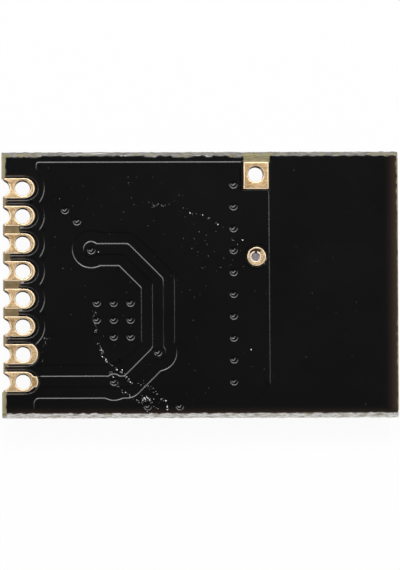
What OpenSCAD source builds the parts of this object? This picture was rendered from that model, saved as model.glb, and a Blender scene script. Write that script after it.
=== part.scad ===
// Small two-layer wireless transceiver module with a castellated edge.
// Frame: +X runs from the castellated edge to the antenna end, +Y across the board,
// +Z out of the back (solder) face. The module lies on its component side, as in use
// on a bench, with the origin on the surface under the middle of its bounding box.
// Places on the board are given from the castellated edge (x) and the centre line (y).

/* [Board] */
// Length from the castellated edge to the antenna end
board_l = 18.2; // [17:0.1:22]
// Width over the broken-out long edges
board_w = 12.2; // [12:0.1:15]
// Thickness of the bare glass-epoxy laminate
laminate_t = 0.9; // [0.7:0.05:1.5]
// How far each V-score face leans in from the break line
score_in = 0.18; // [0.1:0.01:0.25]
// Depth of each V-score cut
score_depth = 0.3; // [0.15:0.05:0.33]
// How far the castellated stretch is routed back from the corners
edge_recess = 0.06; // [0.02:0.01:0.1]

/* [Foil and mask] */
// Thickness of the plated copper foil
copper_t = 0.045; // [0.03:0.005:0.07]
// Thickness of the solder mask over copper
mask_t = 0.03; // [0.025:0.005:0.045]
// How much lower the mask lies between copper shapes
mask_step = 0.02; // [0.005:0.005:0.02]
// Width of bare laminate left round a land
mask_gap = 0.065; // [0.03:0.005:0.08]
// Strip without mask along the castellated edge
mask_edge_in = 0.18; // [0.1:0.01:0.25]
// Strip without mask along the antenna end
mask_end_in = 0.06; // [0.02:0.01:0.2]

/* [Edge pads] */
// Distance between neighbouring edge pads
pad_pitch = 1.27; // [1.2:0.01:1.3]
// Finished diameter of the plated pad holes and of the edge notches
pad_hole_d = 0.74; // [0.6:0.01:0.78]
// Castellated edge to the hole centres
pad_hole_in = 0.96; // [0.9:0.01:1.1]
// Castellated edge to the round end of a land
pad_land_l = 1.51; // [1.48:0.01:1.7]
// Width of a land
pad_land_w = 0.93; // [0.9:0.01:1]
// Castellated edge to the end of the mask opening over a pad
pad_open_l = 1.645; // [1.6:0.005:1.8]
// Thickness of the copper plated inside the holes
plating_t = 0.03; // [0.02:0.005:0.05]
// Gap between a signal land and the ground pour
pad_clear = 0.44; // [0.3:0.01:0.5]

/* [Ground pour and supply trace] */
// Castellated edge to the near side of the pour
pour_left = 1.54; // [1.5:0.01:1.7]
// Castellated edge to the side of the pour at the antenna
pour_right = 12.305; // [12:0.005:12.8]
// Board's upper edge to the pour
pour_top_in = 0.465; // [0.3:0.005:0.6]
// Board's lower edge to the pour
pour_low_in = 0.3; // [0.25:0.01:0.4]
// Size of the cut corner of the pour below the antenna
pour_chamfer = 1.2; // [0.5:0.1:1.5]
// Width of the supply trace
supply_w = 0.5; // [0.3:0.01:0.6]
// Gap between the supply trace and the pour
supply_clear = 0.51; // [0.3:0.01:0.6]
// Diameter of the lands round the supply vias
supply_land_d = 0.7; // [0.6:0.01:0.8]

/* [Ground pads at the antenna] */
// Side of the pour at the antenna to the centres of the two ground holes
ground_hole_in = 0.635; // [0.55:0.005:0.7]
// Diameter of the plated corner hole
corner_hole_d = 0.74; // [0.6:0.01:0.8]
// Upper side of the pour to the corner hole
corner_hole_down = 0.565; // [0.5:0.005:0.65]
// Length of the square corner land
corner_land_l = 1.2; // [1.15:0.01:1.3]
// Width of the square corner land
corner_land_w = 1.26; // [1.2:0.01:1.35]
// Finished diameter of the round ground hole
round_hole_d = 0.53; // [0.4:0.01:0.6]
// Diameter of the round land
round_land_d = 0.88; // [0.8:0.01:0.95]
// Centre line to the round hole
round_y = 1.28; // [1:0.01:1.5]
// How far the solder in the round hole stays below the laminate face
round_solder_down = 0.3; // [0.2:0.05:0.4]

/* [Vias] */
// Drilled diameter of a via
via_drill = 0.3; // [0.25:0.01:0.35]
// Wall thickness of a via barrel
via_wall = 0.04; // [0.03:0.005:0.06]
// Diameter of the copper land round a via
via_land_d = 0.42; // [0.4:0.01:0.5]
// Depth to which mask resin fills a via
via_plug = 0.2; // [0.1:0.05:0.3]
// Diameter of the dimple in the mask over a via
dimple_d = 0.42; // [0.38:0.01:0.48]
// Depth of that dimple
dimple_depth = 0.05; // [0.03:0.005:0.055]
// Number of stitching vias along the antenna
stitch_count = 10; // [6:1:11]
// Distance between stitching vias
stitch_pitch = 1.005; // [0.9:0.005:1.02]
// Distance between the thermal vias under the chip
thermal_pitch = 0.775; // [0.7:0.005:0.85]

/* [Antenna] */
// Width of the printed antenna trace
antenna_w = 0.5; // [0.3:0.05:0.6]
// Gap from the antenna to the board's end
antenna_end_gap = 0.6; // [0.4:0.05:1]
// Gap from the antenna's open end to the board's lower edge
antenna_side_gap = 0.7; // [0.5:0.05:1]
// Length of the meander legs
meander_l = 3; // [2:0.1:3.5]
// Width of the line from the matching network to the antenna
feed_w = 0.35; // [0.2:0.01:0.4]

/* [Transceiver chip] */
// Side of the square chip
chip_l = 4; // [3.6:0.1:4.4]
// Height of the chip
chip_h = 0.85; // [0.75:0.05:1]
// Castellated edge to the chip's centre
chip_x = 5.12; // [5:0.01:5.3]
// Centre line to the chip's centre, on the side of the supply pad
chip_down = 1.6; // [1.5:0.01:1.7]
// Distance between the chip's leads
lead_pitch = 0.5; // [0.45:0.01:0.55]
// Width of a lead
lead_w = 0.25; // [0.2:0.01:0.3]
// Length of a lead under the chip
lead_l = 0.4; // [0.3:0.01:0.5]
// Thickness of the leads and of the heat pad
lead_t = 0.2; // [0.1:0.01:0.25]
// Gap between the leads and the square heat pad
heat_pad_gap = 0.3; // [0.2:0.01:0.4]
// How far a lead's land reaches past the chip
lead_land_out = 0.3; // [0.2:0.01:0.35]

/* [Crystal] */
// Length of the crystal's ceramic base
crystal_l = 3.2; // [2.8:0.1:3.4]
// Width of the base
crystal_w = 2.5; // [2.2:0.1:2.8]
// Height of the base
crystal_base_h = 0.4; // [0.3:0.01:0.45]
// Height of the metal lid
crystal_lid_h = 0.22; // [0.15:0.01:0.25]
// Margin of the base round the lid
crystal_rim = 0.16; // [0.1:0.01:0.25]
// Length of a solder pad under the base
crystal_pad_l = 0.95; // [0.8:0.05:1.1]
// Width of a solder pad under the base
crystal_pad_w = 0.8; // [0.7:0.05:0.9]
// Thickness of a solder pad
crystal_pad_t = 0.03; // [0.02:0.005:0.05]

/* [Chip passives] */
// Length of a chip capacitor, inductor or resistor
passive_l = 1; // [0.9:0.01:1.1]
// Width of a chip passive
passive_w = 0.5; // [0.4:0.01:0.55]
// Height of a capacitor or inductor
passive_h = 0.5; // [0.4:0.01:0.6]
// Height of a resistor
resistor_h = 0.35; // [0.3:0.01:0.4]
// Length of a metal end cap
end_l = 0.25; // [0.2:0.01:0.3]
// Wall thickness of a metal end cap
end_t = 0.02; // [0.015:0.005:0.03]
// How far a land reaches past an end cap
land_out = 0.2; // [0.1:0.01:0.22]
// Thickness of solder under a part
solder_t = 0.05; // [0.05:0.005:0.08]

/* [Hidden] */
$fn = 48;
cut = 0.01; // overrun of a cutting solid past the face that it cuts

// Heights, from the face of the chip that the module rests on up to the back mask
front_z = chip_h + solder_t + copper_t;
back_z = front_z + laminate_t;
part_z = copper_t + solder_t; // seat of the parts above the laminate face
mask_flat = copper_t + mask_t - mask_step;
pour_top = board_w / 2 - pour_top_in;
pour_low = -board_w / 2 + pour_low_in;

// Edge pads, counted from the top, with two special ones
pad_count = 8;
ground_pad = 7;
supply_pad = 8;
pad_end_r = pad_land_w / 2;
open_r = pad_end_r + mask_gap;
// Share of a land's length over which the mask strip below each pad is broken off
dam_share = [0.14, 0.54, 0.25, 0.54, 0.5, 0.12, 0.13];

// Ground holes at the antenna
ground_hole_x = pour_right - ground_hole_in;
corner_hole_y = pour_top - corner_hole_down;

// Chip edges on the board
chip_y = -chip_down;
chip_left = chip_x - chip_l / 2;
chip_right = chip_x + chip_l / 2;
chip_top = chip_y + chip_l / 2;
chip_low = chip_y - chip_l / 2;
side_leads = 5;
lead_land_gap = 0.015;
lead_land_w = lead_w + 2 * lead_land_gap;
lead_solder_h = 0.15;
heat_pad_l = chip_l - 2 * (lead_l + heat_pad_gap);

// Crystal place, up and to the right of the chip
crystal_gap = 0.03;
crystal_up = 0.95;
crystal_left = chip_right + crystal_gap;
crystal_low = chip_top + crystal_up;
crystal_at = [crystal_left + crystal_l / 2, crystal_low + crystal_w / 2];
crystal_corner_r = 0.25;

// Gaps between the chip passives and their neighbours
part_gap = 0.25;
above_gap = 0.1;
load_gap = 0.35;
choke_gap = 0.2;
couple_gap = 0.18;
shunt_gap = 0.6;
shunt_down = 0.32;
bias_gap = 0.4;
bias_up = 0.3;

// Chip passives: place and turn. span is the length of a passive with its lands
span = passive_l + 2 * land_out;
lands_right = chip_right + lead_land_out;
above_y = chip_top + lead_land_out + above_gap + passive_w / 2;
above_out = 0.4;
below_y = chip_low - lead_land_out - part_gap - passive_w / 2;
below_out = 1.15;
load_x = crystal_left - load_gap - passive_w / 2;
choke_x = lands_right + choke_gap + passive_w / 2;
choke_up = 0.8;
match_x = choke_x + passive_w + part_gap;
couple_x = match_x + passive_w / 2 + couple_gap + span / 2;
series_x = lands_right + choke_gap + span / 2;
series_y = chip_y + lead_offset(0);
feed_down = 0.33;
feed_y = chip_y - feed_down;
capacitors = [
    [load_x, crystal_low + span / 2, 90],
    [load_x, crystal_low + 1.5 * span + above_gap, 90],
    [chip_right + part_gap + span / 2, chip_top + above_gap, 0],
    [chip_right + 2 * part_gap + 1.5 * span, chip_top + above_gap, 0],
    [couple_x, feed_y, 0],
    [series_x + span / 2 + shunt_gap + passive_w / 2, feed_y - passive_w / 2 - shunt_down - span / 2, 90],
    [chip_x - below_out, below_y, 0],
    [series_x, series_y - shunt_gap - passive_w, 0],
    [chip_x + above_out, above_y, 0]
];
inductors = [
    [match_x, chip_y + lead_pitch / 2, 90],
    [choke_x, chip_y + choke_up, 90],
    [series_x, series_y, 0]
];
resistors = [
    [load_x - passive_w - bias_gap, above_y + passive_w / 2 + bias_up + span / 2, 90],
    [chip_x + below_out, below_y, 0]
];
passives = concat(capacitors, inductors, resistors);
coat_t = 0.02;
solder_climb = 0.6; // share of an end cap's height that the solder climbs

// Supply trace: along the lower edge, up beside the chip and back over it
supply_low_y = pad_y(supply_pad);
supply_out = 2.03;
supply_x = chip_x + supply_out;
supply_bend_down = 1.4;
supply_bend_y = chip_y - supply_bend_down;
supply_end_left = 1.03;
supply_end_up = 3.24;
supply_end_x = chip_x - supply_end_left;
supply_end_y = chip_y + supply_end_up;
supply_turn_out = 0.57;
supply_turn_x = chip_x + supply_turn_out;
supply_path = [
    [pad_hole_in, supply_low_y],
    [supply_x - (supply_bend_y - supply_low_y), supply_low_y],
    [supply_x, supply_bend_y],
    [supply_x, supply_end_y - (supply_x - supply_turn_x)],
    [supply_turn_x, supply_end_y],
    [supply_end_x, supply_end_y]
];

// Via places
via_bore_r = via_drill / 2 - via_wall;
stitch_in = 1.665;
stitch_down = 1.035;
stitch_x = pour_right - stitch_in;
stitch_top = pour_top - stitch_down;
upper_via_x = 2.9;
upper_via_y = 3.44;
upper_via_step_x = 0.55;
upper_via_step_y = 0.52;
lower_via_x = 6.67;
lower_via_step = 1.47;
lower_via_up = 0.21;
lower_via_y = pour_low + lower_via_up;
bend_via_down = 0.1;
stitching_at = [for (i = [0 : stitch_count - 1]) [stitch_x, stitch_top - i * stitch_pitch]];
thermal_at = [for (i = [-1 : 1], j = [-1 : 1]) [chip_x + i * thermal_pitch, chip_y + j * thermal_pitch]];
ground_at = [
    [upper_via_x, upper_via_y],
    [upper_via_x + upper_via_step_x, upper_via_y - upper_via_step_y],
    [lower_via_x, lower_via_y],
    [lower_via_x + lower_via_step, lower_via_y]
];
supply_at = [
    [supply_end_x, supply_end_y],
    [supply_x, supply_bend_y - bend_via_down],
    [chip_x, supply_low_y]
];
all_vias = concat(stitching_at, thermal_at, ground_at, supply_at);

// Signal traces on the component side
signal_w = 0.12;
signal_clear = 0.15;
bus_out = 0.32;
bus_x = chip_left - lead_land_out - bus_out;
bus_pitch = 0.2;
interrupt_x = chip_x - lead_pitch;
interrupt_gap = 0.2;

mask_black = "#18181a";
gold = "#c8a878";
copper = "#b87333";
tin = "#b9bbbd";

// Y of edge pad number i
function pad_y(i) = ((pad_count + 1) / 2 - i) * pad_pitch;

// Y or X offset of lead k of a side, counted from the middle
function lead_offset(k) = (k - (side_leads - 1) / 2) * lead_pitch;

function unit(v) = v / norm(v);
function left_of(v) = [-v.y, v.x];

// Point i of a path moved d to its left, on the mitre of its two stretches
function mitre(path, i, d) =
    let (before = i > 0 ? path[i] - path[i - 1] : path[1] - path[0])
    let (after = i < len(path) - 1 ? path[i + 1] - path[i] : before)
    let (a = left_of(unit(before)), b = left_of(unit(after)))
    path[i] + (a + b) * d / (1 + a * b);

// Outline of a trace of width w along a path
function trace(path, w) = concat(
    [for (i = [0 : len(path) - 1]) mitre(path, i, -w / 2)],
    [for (i = [len(path) - 1 : -1 : 0]) mitre(path, i, w / 2)]
);

// Places children, drawn outward from the laminate face, on the back of the board
module on_back() {
    translate([-board_l / 2, 0, back_z]) children();
}

// Places children, drawn outward from the laminate face, on the component side
module on_front() {
    translate([-board_l / 2, 0, front_z]) mirror([0, 0, 1]) children();
}

// Puts a copy of the children at each place of a list
module at(places) {
    for (p = places) translate([p.x, p.y, 0]) children();
}

// Puts the children at a passive's place, turned with it
module at_passive(p) {
    translate([p.x, p.y, 0]) rotate(p[2]) children();
}

// Puts the children at each lead of the chip, with +X pointing out of the chip
module at_leads() {
    for (side = [0 : 3], k = [0 : side_leads - 1])
        translate([chip_x, chip_y, 0]) rotate(90 * side)
            translate([chip_l / 2, lead_offset(k), 0]) children();
}

// Puts the children at each of the crystal's four solder pads
module at_crystal_pads() {
    for (sx = [-1, 1], sy = [-1, 1])
        translate([
            crystal_at.x + sx * (crystal_l - crystal_pad_l) / 2,
            crystal_at.y + sy * (crystal_w - crystal_pad_w) / 2,
            0
        ]) children();
}

// A box standing on z, centred in x and y
module block(l, w, h, z = 0) {
    translate([-l / 2, -w / 2, z]) cube([l, w, h]);
}

// A rod through the whole laminate and its foil at x, y
module drill(x, y, d) {
    translate([x - board_l / 2, y, front_z - copper_t - cut])
        cylinder(d = d, h = laminate_t + 2 * copper_t + 2 * cut);
}

// Outline of a land that runs from the castellated edge to a round end, up to its width
module land_2d(length, end_r) {
    intersection() {
        translate([edge_recess, -pad_end_r]) square([length, pad_land_w]);
        union() {
            translate([0, -end_r]) square([length - end_r, 2 * end_r]);
            translate([length - end_r, 0]) circle(r = end_r);
        }
    }
}

// Land of edge pad i; the ground and supply lands fill their openings where copper goes on
module pad_land_2d(i) {
    translate([0, pad_y(i)]) {
        if (i == ground_pad) land_2d(pad_open_l, open_r);
        else land_2d(pad_land_l, pad_end_r);
        if (i == supply_pad) intersection() {
            land_2d(pad_open_l, open_r);
            translate([pad_hole_in, -supply_w / 2]) square([pad_open_l, supply_w]);
        }
    }
}

module pad_lands_2d() {
    for (i = [1 : pad_count]) pad_land_2d(i);
}

// Land of the corner pad, in the corner of the pour
module corner_land_2d() {
    translate([pour_right - corner_land_l, pour_top - corner_land_w]) square([corner_land_l, corner_land_w]);
}

module round_land_2d() {
    translate([ground_hole_x, round_y]) circle(d = round_land_d);
}

// Copper lands round a list of vias
module via_lands_2d(vias, d) {
    for (p = vias) translate(p) circle(d = d);
}

// Outline of the ground pour, less the room round the signal and supply pads
module pour_2d() {
    difference() {
        polygon([
            [pour_left, pour_low],
            [pour_right - pour_chamfer, pour_low],
            [pour_right, pour_low + pour_chamfer],
            [pour_right, pour_top],
            [pour_left, pour_top]
        ]);
        for (i = [1 : pad_count])
            if (i != ground_pad)
                translate([pad_hole_in, pad_y(i)]) circle(r = pad_land_l - pad_hole_in + pad_clear);
        pad_land_2d(ground_pad);
        corner_land_2d();
        round_land_2d();
    }
}

// Supply trace with its via lands, widened by grow on every side
module supply_2d(grow = 0) {
    polygon(trace(supply_path, supply_w + 2 * grow));
    via_lands_2d(supply_at, supply_land_d + 2 * grow);
}

// Copper on the back before the vias are drilled
module back_pattern_2d() {
    difference() {
        pour_2d();
        supply_2d(supply_clear);
    }
    difference() {
        supply_2d();
        pad_land_2d(supply_pad);
    }
}

// Lands of the passives, the chip and the crystal
module component_lands_2d(grow = 0) {
    for (p = passives) translate([p.x, p.y]) rotate(p[2]) for (s = [-1, 1])
        translate([s * (passive_l - end_l + land_out) / 2, 0])
            square([end_l + land_out + 2 * grow, passive_w + 2 * grow], center = true);
    for (side = [0 : 3], k = [0 : side_leads - 1])
        translate([chip_x, chip_y]) rotate(90 * side)
            translate([chip_l / 2 - lead_l - grow, lead_offset(k) - lead_land_w / 2 - grow])
                square([lead_l + lead_land_out + 2 * grow, lead_land_w + 2 * grow]);
    translate([chip_x, chip_y]) square(heat_pad_l + 2 * grow, center = true);
    for (sx = [-1, 1], sy = [-1, 1])
        translate([
            crystal_at.x + sx * (crystal_l - crystal_pad_l) / 2,
            crystal_at.y + sy * (crystal_w - crystal_pad_w) / 2
        ]) square([crystal_pad_l + 2 * grow, crystal_pad_w + 2 * grow], center = true);
}

// Traces of the component side: five bus lines, the interrupt line and the antenna's feed line
module signals_2d() {
    for (i = [2 : 6]) {
        x = bus_x - (i - 2) * bus_pitch;
        y = chip_y + lead_offset(6 - i);
        polygon(trace([[pad_hole_in, pad_y(i)], [x, pad_y(i)], [x, y], [chip_left, y]], signal_w));
    }
    lead_x = chip_x + lead_offset(0);
    turn_y = chip_top + lead_land_out + interrupt_gap;
    polygon(trace([
        [pad_hole_in, pad_y(1)],
        [interrupt_x, pad_y(1)],
        [interrupt_x, turn_y],
        [lead_x, turn_y],
        [lead_x, chip_top]
    ], signal_w));
    polygon(trace([[couple_x + passive_l / 2, feed_y], [pour_right, feed_y]], feed_w));
}

// Pour of the component side, kept clear of the parts' lands, the bus and the traces
module front_pour_2d() {
    bus_low = chip_y + lead_offset(0);
    difference() {
        pour_2d();
        offset(delta = signal_clear) {
            component_lands_2d();
            signals_2d();
            via_lands_2d(supply_at, supply_land_d);
            for (p = passives) translate([p.x, p.y]) rotate(p[2]) square([span, passive_w], center = true);
            translate([0, bus_low]) square([bus_x + signal_w / 2, pad_y(2) - bus_low]);
        }
    }
}

// Pour, traces and via lands of the component side before the vias are drilled
module front_pattern_2d() {
    difference() {
        union() {
            front_pour_2d();
            signals_2d();
            via_lands_2d(supply_at, supply_land_d);
            via_lands_2d(concat(stitching_at, ground_at), via_land_d);
        }
        component_lands_2d();
        pad_lands_2d();
        corner_land_2d();
        round_land_2d();
    }
}

// Printed antenna: a ground leg, a feed leg and a meander down to its open end
module antenna_2d() {
    far_x = board_l - antenna_end_gap - antenna_w / 2;
    near_x = far_x - meander_l;
    pitch = (feed_y + board_w / 2 - antenna_side_gap - antenna_w / 2) / 3;
    polygon(trace([
        [pour_right, round_y],
        [far_x, round_y],
        [far_x, feed_y - pitch],
        [near_x, feed_y - pitch],
        [near_x, feed_y - 2 * pitch],
        [far_x, feed_y - 2 * pitch],
        [far_x, feed_y - 3 * pitch],
        [near_x, feed_y - 3 * pitch]
    ], antenna_w));
    polygon(trace([[pour_right, feed_y], [far_x, feed_y]], antenna_w));
}

// Mask outline, less the openings over the edge pads, the two antenna pads and the broken strips
module mask_2d() {
    face_w = board_w - 2 * score_in;
    difference() {
        translate([mask_edge_in, -face_w / 2]) square([board_l - mask_edge_in - mask_end_in, face_w]);
        for (i = [1 : pad_count]) translate([0, pad_y(i)]) {
            translate([0, -open_r]) square([pad_open_l - open_r, 2 * open_r]);
            translate([pad_open_l - open_r, 0]) circle(r = open_r);
        }
        for (i = [1 : pad_count - 1])
            translate([0, pad_y(i) - pad_pitch]) square([dam_share[i - 1] * pad_land_l, pad_pitch]);
        translate([pour_right - corner_land_l, pour_top - corner_land_w])
            square([corner_land_l + mask_gap, board_w]);
        round_land_2d();
    }
}

// Dimples that the mask shows over a list of vias
module dimples(vias) {
    at(vias) translate([0, 0, copper_t + mask_t - dimple_depth])
        cylinder(d1 = via_bore_r / 2, d2 = dimple_d, h = dimple_depth);
}

// Solder mask over the second child, cut to the first, with resin plugs and dimples at the vias
module mask_film(vias) {
    difference() {
        union() {
            linear_extrude(mask_flat) children(0);
            linear_extrude(copper_t + mask_t) intersection() {
                children(0);
                children(1);
            }
        }
        translate([0, 0, -cut]) linear_extrude(copper_t + cut) children(1);
        dimples(vias);
    }
    difference() {
        at(vias) translate([0, 0, -via_plug]) cylinder(r = via_bore_r, h = via_plug + copper_t);
        dimples(vias);
    }
}

// Barrels of plated vias through laminate and foil
module via_barrels(vias) {
    color(copper) translate([-board_l / 2, 0, front_z - copper_t]) at(vias) difference() {
        cylinder(d = via_drill, h = laminate_t + 2 * copper_t);
        translate([0, 0, -cut]) cylinder(r = via_bore_r, h = laminate_t + 2 * copper_t + 2 * cut);
    }
}

// Profile of the solder at one end of a part: a slab under the metal and a hollow fillet outside it
module solder_profile(under, out, climb) {
    steps = 4;
    polygon(concat(
        [[-under, 0], [out, 0]],
        [for (i = [1 : steps - 1]) let (a = 90 * i / steps)
            [out * (1 - sin(a)), (solder_t + climb) * (1 - cos(a))]],
        [[0, solder_t + climb], [0, solder_t], [-under, solder_t]]
    ));
}

// Solder at one end of a part, on its land, with +X pointing out of the part
module solder_end(under, out, w, climb) {
    translate([0, w / 2, copper_t]) rotate([90, 0, 0]) linear_extrude(w) solder_profile(under, out, climb);
}

// Ceramic body of a passive inside its end caps
module passive_body(p, h) {
    on_front() at_passive(p)
        block(passive_l - 2 * end_t, passive_w - 2 * end_t, h - 2 * end_t, part_z + end_t);
}

// Two metal end caps of a passive
module passive_ends(p, h) {
    on_front() at_passive(p) difference() {
        for (s = [-1, 1]) translate([s * (passive_l - end_l) / 2, 0, 0])
            block(end_l, passive_w, h, part_z);
        block(passive_l - 2 * end_t, passive_w - 2 * end_t, h - 2 * end_t, part_z + end_t);
    }
}

module laminate() {
    profile = [
        [board_w / 2 - score_in, 0],
        [board_w / 2, score_depth],
        [board_w / 2, laminate_t - score_depth],
        [board_w / 2 - score_in, laminate_t]
    ];
    pads_w = pad_pitch * (pad_count - 1) + pad_land_w;
    color("#b5ad84") difference() {
        translate([-board_l / 2, 0, front_z]) rotate([90, 0, 90]) linear_extrude(board_l)
            polygon(concat(profile, [for (i = [3 : -1 : 0]) [-profile[i].x, profile[i].y]]));
        translate([-board_l / 2 - cut, -pads_w / 2, front_z - cut])
            cube([edge_recess + cut, pads_w, laminate_t + 2 * cut]);
        for (i = [1 : pad_count], x = [0, pad_hole_in]) drill(x, pad_y(i), pad_hole_d + 2 * plating_t);
        drill(ground_hole_x, corner_hole_y, corner_hole_d + 2 * plating_t);
        drill(ground_hole_x, round_y, round_hole_d + 2 * plating_t);
        for (p = all_vias) drill(p.x, p.y, via_drill);
    }
}

// Copper foil of the 2D children, drilled for all the vias
module drilled_foil() {
    difference() {
        linear_extrude(copper_t) children();
        at(all_vias) translate([0, 0, -cut]) cylinder(d = via_drill, h = copper_t + 2 * cut);
    }
}

module back_copper() {
    color(copper) on_back() drilled_foil() back_pattern_2d();
}

module front_copper() {
    color(copper) on_front() drilled_foil() front_pattern_2d();
}

module antenna_trace() {
    color(copper) on_front() linear_extrude(copper_t) antenna_2d();
}

module component_lands() {
    color(gold) on_front() drilled_foil() component_lands_2d();
}

module back_mask() {
    color(mask_black) on_back() mask_film(all_vias) {
        mask_2d();
        back_pattern_2d();
    }
}

module front_mask() {
    color(mask_black) on_front() mask_film(concat(stitching_at, ground_at, supply_at)) {
        difference() {
            mask_2d();
            component_lands_2d(mask_gap / 2);
        }
        union() {
            front_pattern_2d();
            antenna_2d();
        }
    }
}

// Plated edge pad: a land on each face, the hole's barrel and the half barrel of the notch
module edge_pad(i) {
    barrel_d = pad_hole_d + 2 * plating_t;
    color(gold) difference() {
        union() {
            on_back() linear_extrude(copper_t) pad_land_2d(i);
            on_front() linear_extrude(copper_t) pad_land_2d(i);
            translate([pad_hole_in - board_l / 2, pad_y(i), front_z]) cylinder(d = barrel_d, h = laminate_t);
            intersection() {
                translate([-board_l / 2, pad_y(i), front_z]) cylinder(d = barrel_d, h = laminate_t);
                translate([edge_recess - board_l / 2, pad_y(i) - barrel_d, front_z])
                    cube([barrel_d, 2 * barrel_d, laminate_t]);
            }
        }
        for (x = [0, pad_hole_in]) drill(x, pad_y(i), pad_hole_d);
    }
}

// Plated hole with the same land on both faces
module plated_hole(x, y, d) {
    color(gold) difference() {
        union() {
            on_back() linear_extrude(copper_t) children();
            on_front() linear_extrude(copper_t) children();
            translate([x - board_l / 2, y, front_z]) cylinder(d = d + 2 * plating_t, h = laminate_t);
        }
        drill(x, y, d);
    }
}

module corner_ground_pad() {
    plated_hole(ground_hole_x, corner_hole_y, corner_hole_d) corner_land_2d();
}

module round_ground_pad() {
    plated_hole(ground_hole_x, round_y, round_hole_d) round_land_2d();
}

// Solder drawn up into the round hole, with a hollow top
module ground_hole_solder() {
    dish = 0.1;
    h = laminate_t - round_solder_down;
    color(tin) translate([ground_hole_x - board_l / 2, round_y, front_z]) difference() {
        cylinder(d = round_hole_d, h = h);
        translate([0, 0, h - dish]) cylinder(d1 = round_hole_d / 3, d2 = round_hole_d, h = dish);
    }
}

module stitching_vias() {
    via_barrels(stitching_at);
}

module thermal_vias() {
    via_barrels(thermal_at);
}

module supply_vias() {
    via_barrels(supply_at);
}

module ground_vias() {
    via_barrels(ground_at);
}

// Leads and heat pad of the chip, flush with its underside
module lead_solids() {
    translate([0, 0, part_z]) {
        at_leads() translate([-lead_l, -lead_w / 2, 0]) cube([lead_l, lead_w, lead_t]);
        translate([chip_x, chip_y, 0]) block(heat_pad_l, heat_pad_l, lead_t);
    }
}

// Moulded chip body with a dot at its first lead
module transceiver_chip() {
    dot_d = 0.4;
    dot_in = 0.5;
    dot_depth = 0.03;
    color("#202123") on_front() difference() {
        translate([chip_x, chip_y, 0]) block(chip_l, chip_l, chip_h, part_z);
        lead_solids();
        translate([chip_left + dot_in, chip_low + dot_in, part_z + chip_h - dot_depth])
            cylinder(d = dot_d, h = dot_depth + cut);
    }
}

module chip_leads() {
    color(tin) on_front() lead_solids();
}

module chip_solder() {
    color(tin) on_front() {
        at_leads() solder_end(lead_l, lead_land_out, lead_w, lead_solder_h);
        translate([chip_x, chip_y, 0]) block(heat_pad_l, heat_pad_l, solder_t, copper_t);
    }
}

module crystal_base() {
    color("#3a3733") on_front() translate([crystal_at.x, crystal_at.y, 0])
        block(crystal_l, crystal_w, crystal_base_h, part_z + crystal_pad_t);
}

// Welded metal lid with rounded corners and a stepped rim
module crystal_lid() {
    rim_h = 0.06;
    lid_l = crystal_l - 2 * crystal_rim;
    lid_w = crystal_w - 2 * crystal_rim;
    step_in = 0.18;
    color("#c9c6bd") on_front()
        translate([crystal_at.x, crystal_at.y, part_z + crystal_pad_t + crystal_base_h]) {
            linear_extrude(rim_h) rounded_2d(lid_l, lid_w, crystal_corner_r);
            linear_extrude(crystal_lid_h)
                rounded_2d(lid_l - 2 * step_in, lid_w - 2 * step_in, crystal_corner_r);
        }
}

// Rectangle with rounded corners, centred
module rounded_2d(l, w, r) {
    square([l - 2 * r, w], center = true);
    square([l, w - 2 * r], center = true);
    for (sx = [-1, 1], sy = [-1, 1]) translate([sx * (l / 2 - r), sy * (w / 2 - r)]) circle(r = r);
}

module crystal_pads() {
    color(gold) on_front() at_crystal_pads()
        block(crystal_pad_l, crystal_pad_w, crystal_pad_t, part_z);
}

module crystal_solder() {
    color(tin) on_front() at_crystal_pads() block(crystal_pad_l, crystal_pad_w, solder_t, copper_t);
}

module capacitor(i) {
    color("#b59a77") passive_body(capacitors[i - 1], passive_h);
}

module inductor(i) {
    color("#7f9aa6") passive_body(inductors[i - 1], passive_h);
}

module resistor(i) {
    color("#e4e2da") passive_body(resistors[i - 1], resistor_h);
}

module capacitor_ends() {
    color(tin) for (p = capacitors) passive_ends(p, passive_h);
}

module inductor_ends() {
    color(tin) for (p = inductors) passive_ends(p, passive_h);
}

module resistor_ends() {
    color(tin) for (p = resistors) passive_ends(p, resistor_h);
}

// Black glaze over the resistive film, between the end caps
module resistor_coats() {
    color("#17181a") on_front() for (p = resistors) at_passive(p)
        block(passive_l - 2 * end_l, passive_w - 2 * end_t, coat_t, part_z + resistor_h - end_t);
}

module passive_solder() {
    color(tin) on_front() {
        for (p = concat(capacitors, inductors), s = [0, 180])
            at_passive(p) rotate(s) translate([passive_l / 2, 0, 0])
                solder_end(end_l, land_out, passive_w, passive_h * solder_climb);
        for (p = resistors, s = [0, 180])
            at_passive(p) rotate(s) translate([passive_l / 2, 0, 0])
                solder_end(end_l, land_out, passive_w, resistor_h * solder_climb);
    }
}

laminate();
back_copper();
front_copper();
antenna_trace();
component_lands();
back_mask();
front_mask();
for (i = [1 : pad_count]) edge_pad(i);
corner_ground_pad();
round_ground_pad();
ground_hole_solder();
stitching_vias();
thermal_vias();
supply_vias();
ground_vias();
transceiver_chip();
chip_leads();
chip_solder();
crystal_base();
crystal_lid();
crystal_pads();
crystal_solder();
for (i = [1 : len(capacitors)]) capacitor(i);
for (i = [1 : len(inductors)]) inductor(i);
for (i = [1 : len(resistors)]) resistor(i);
capacitor_ends();
inductor_ends();
resistor_ends();
resistor_coats();
passive_solder();
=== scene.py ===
"""Looks of a small black wireless transceiver module that lies on its component side."""
import math

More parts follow.
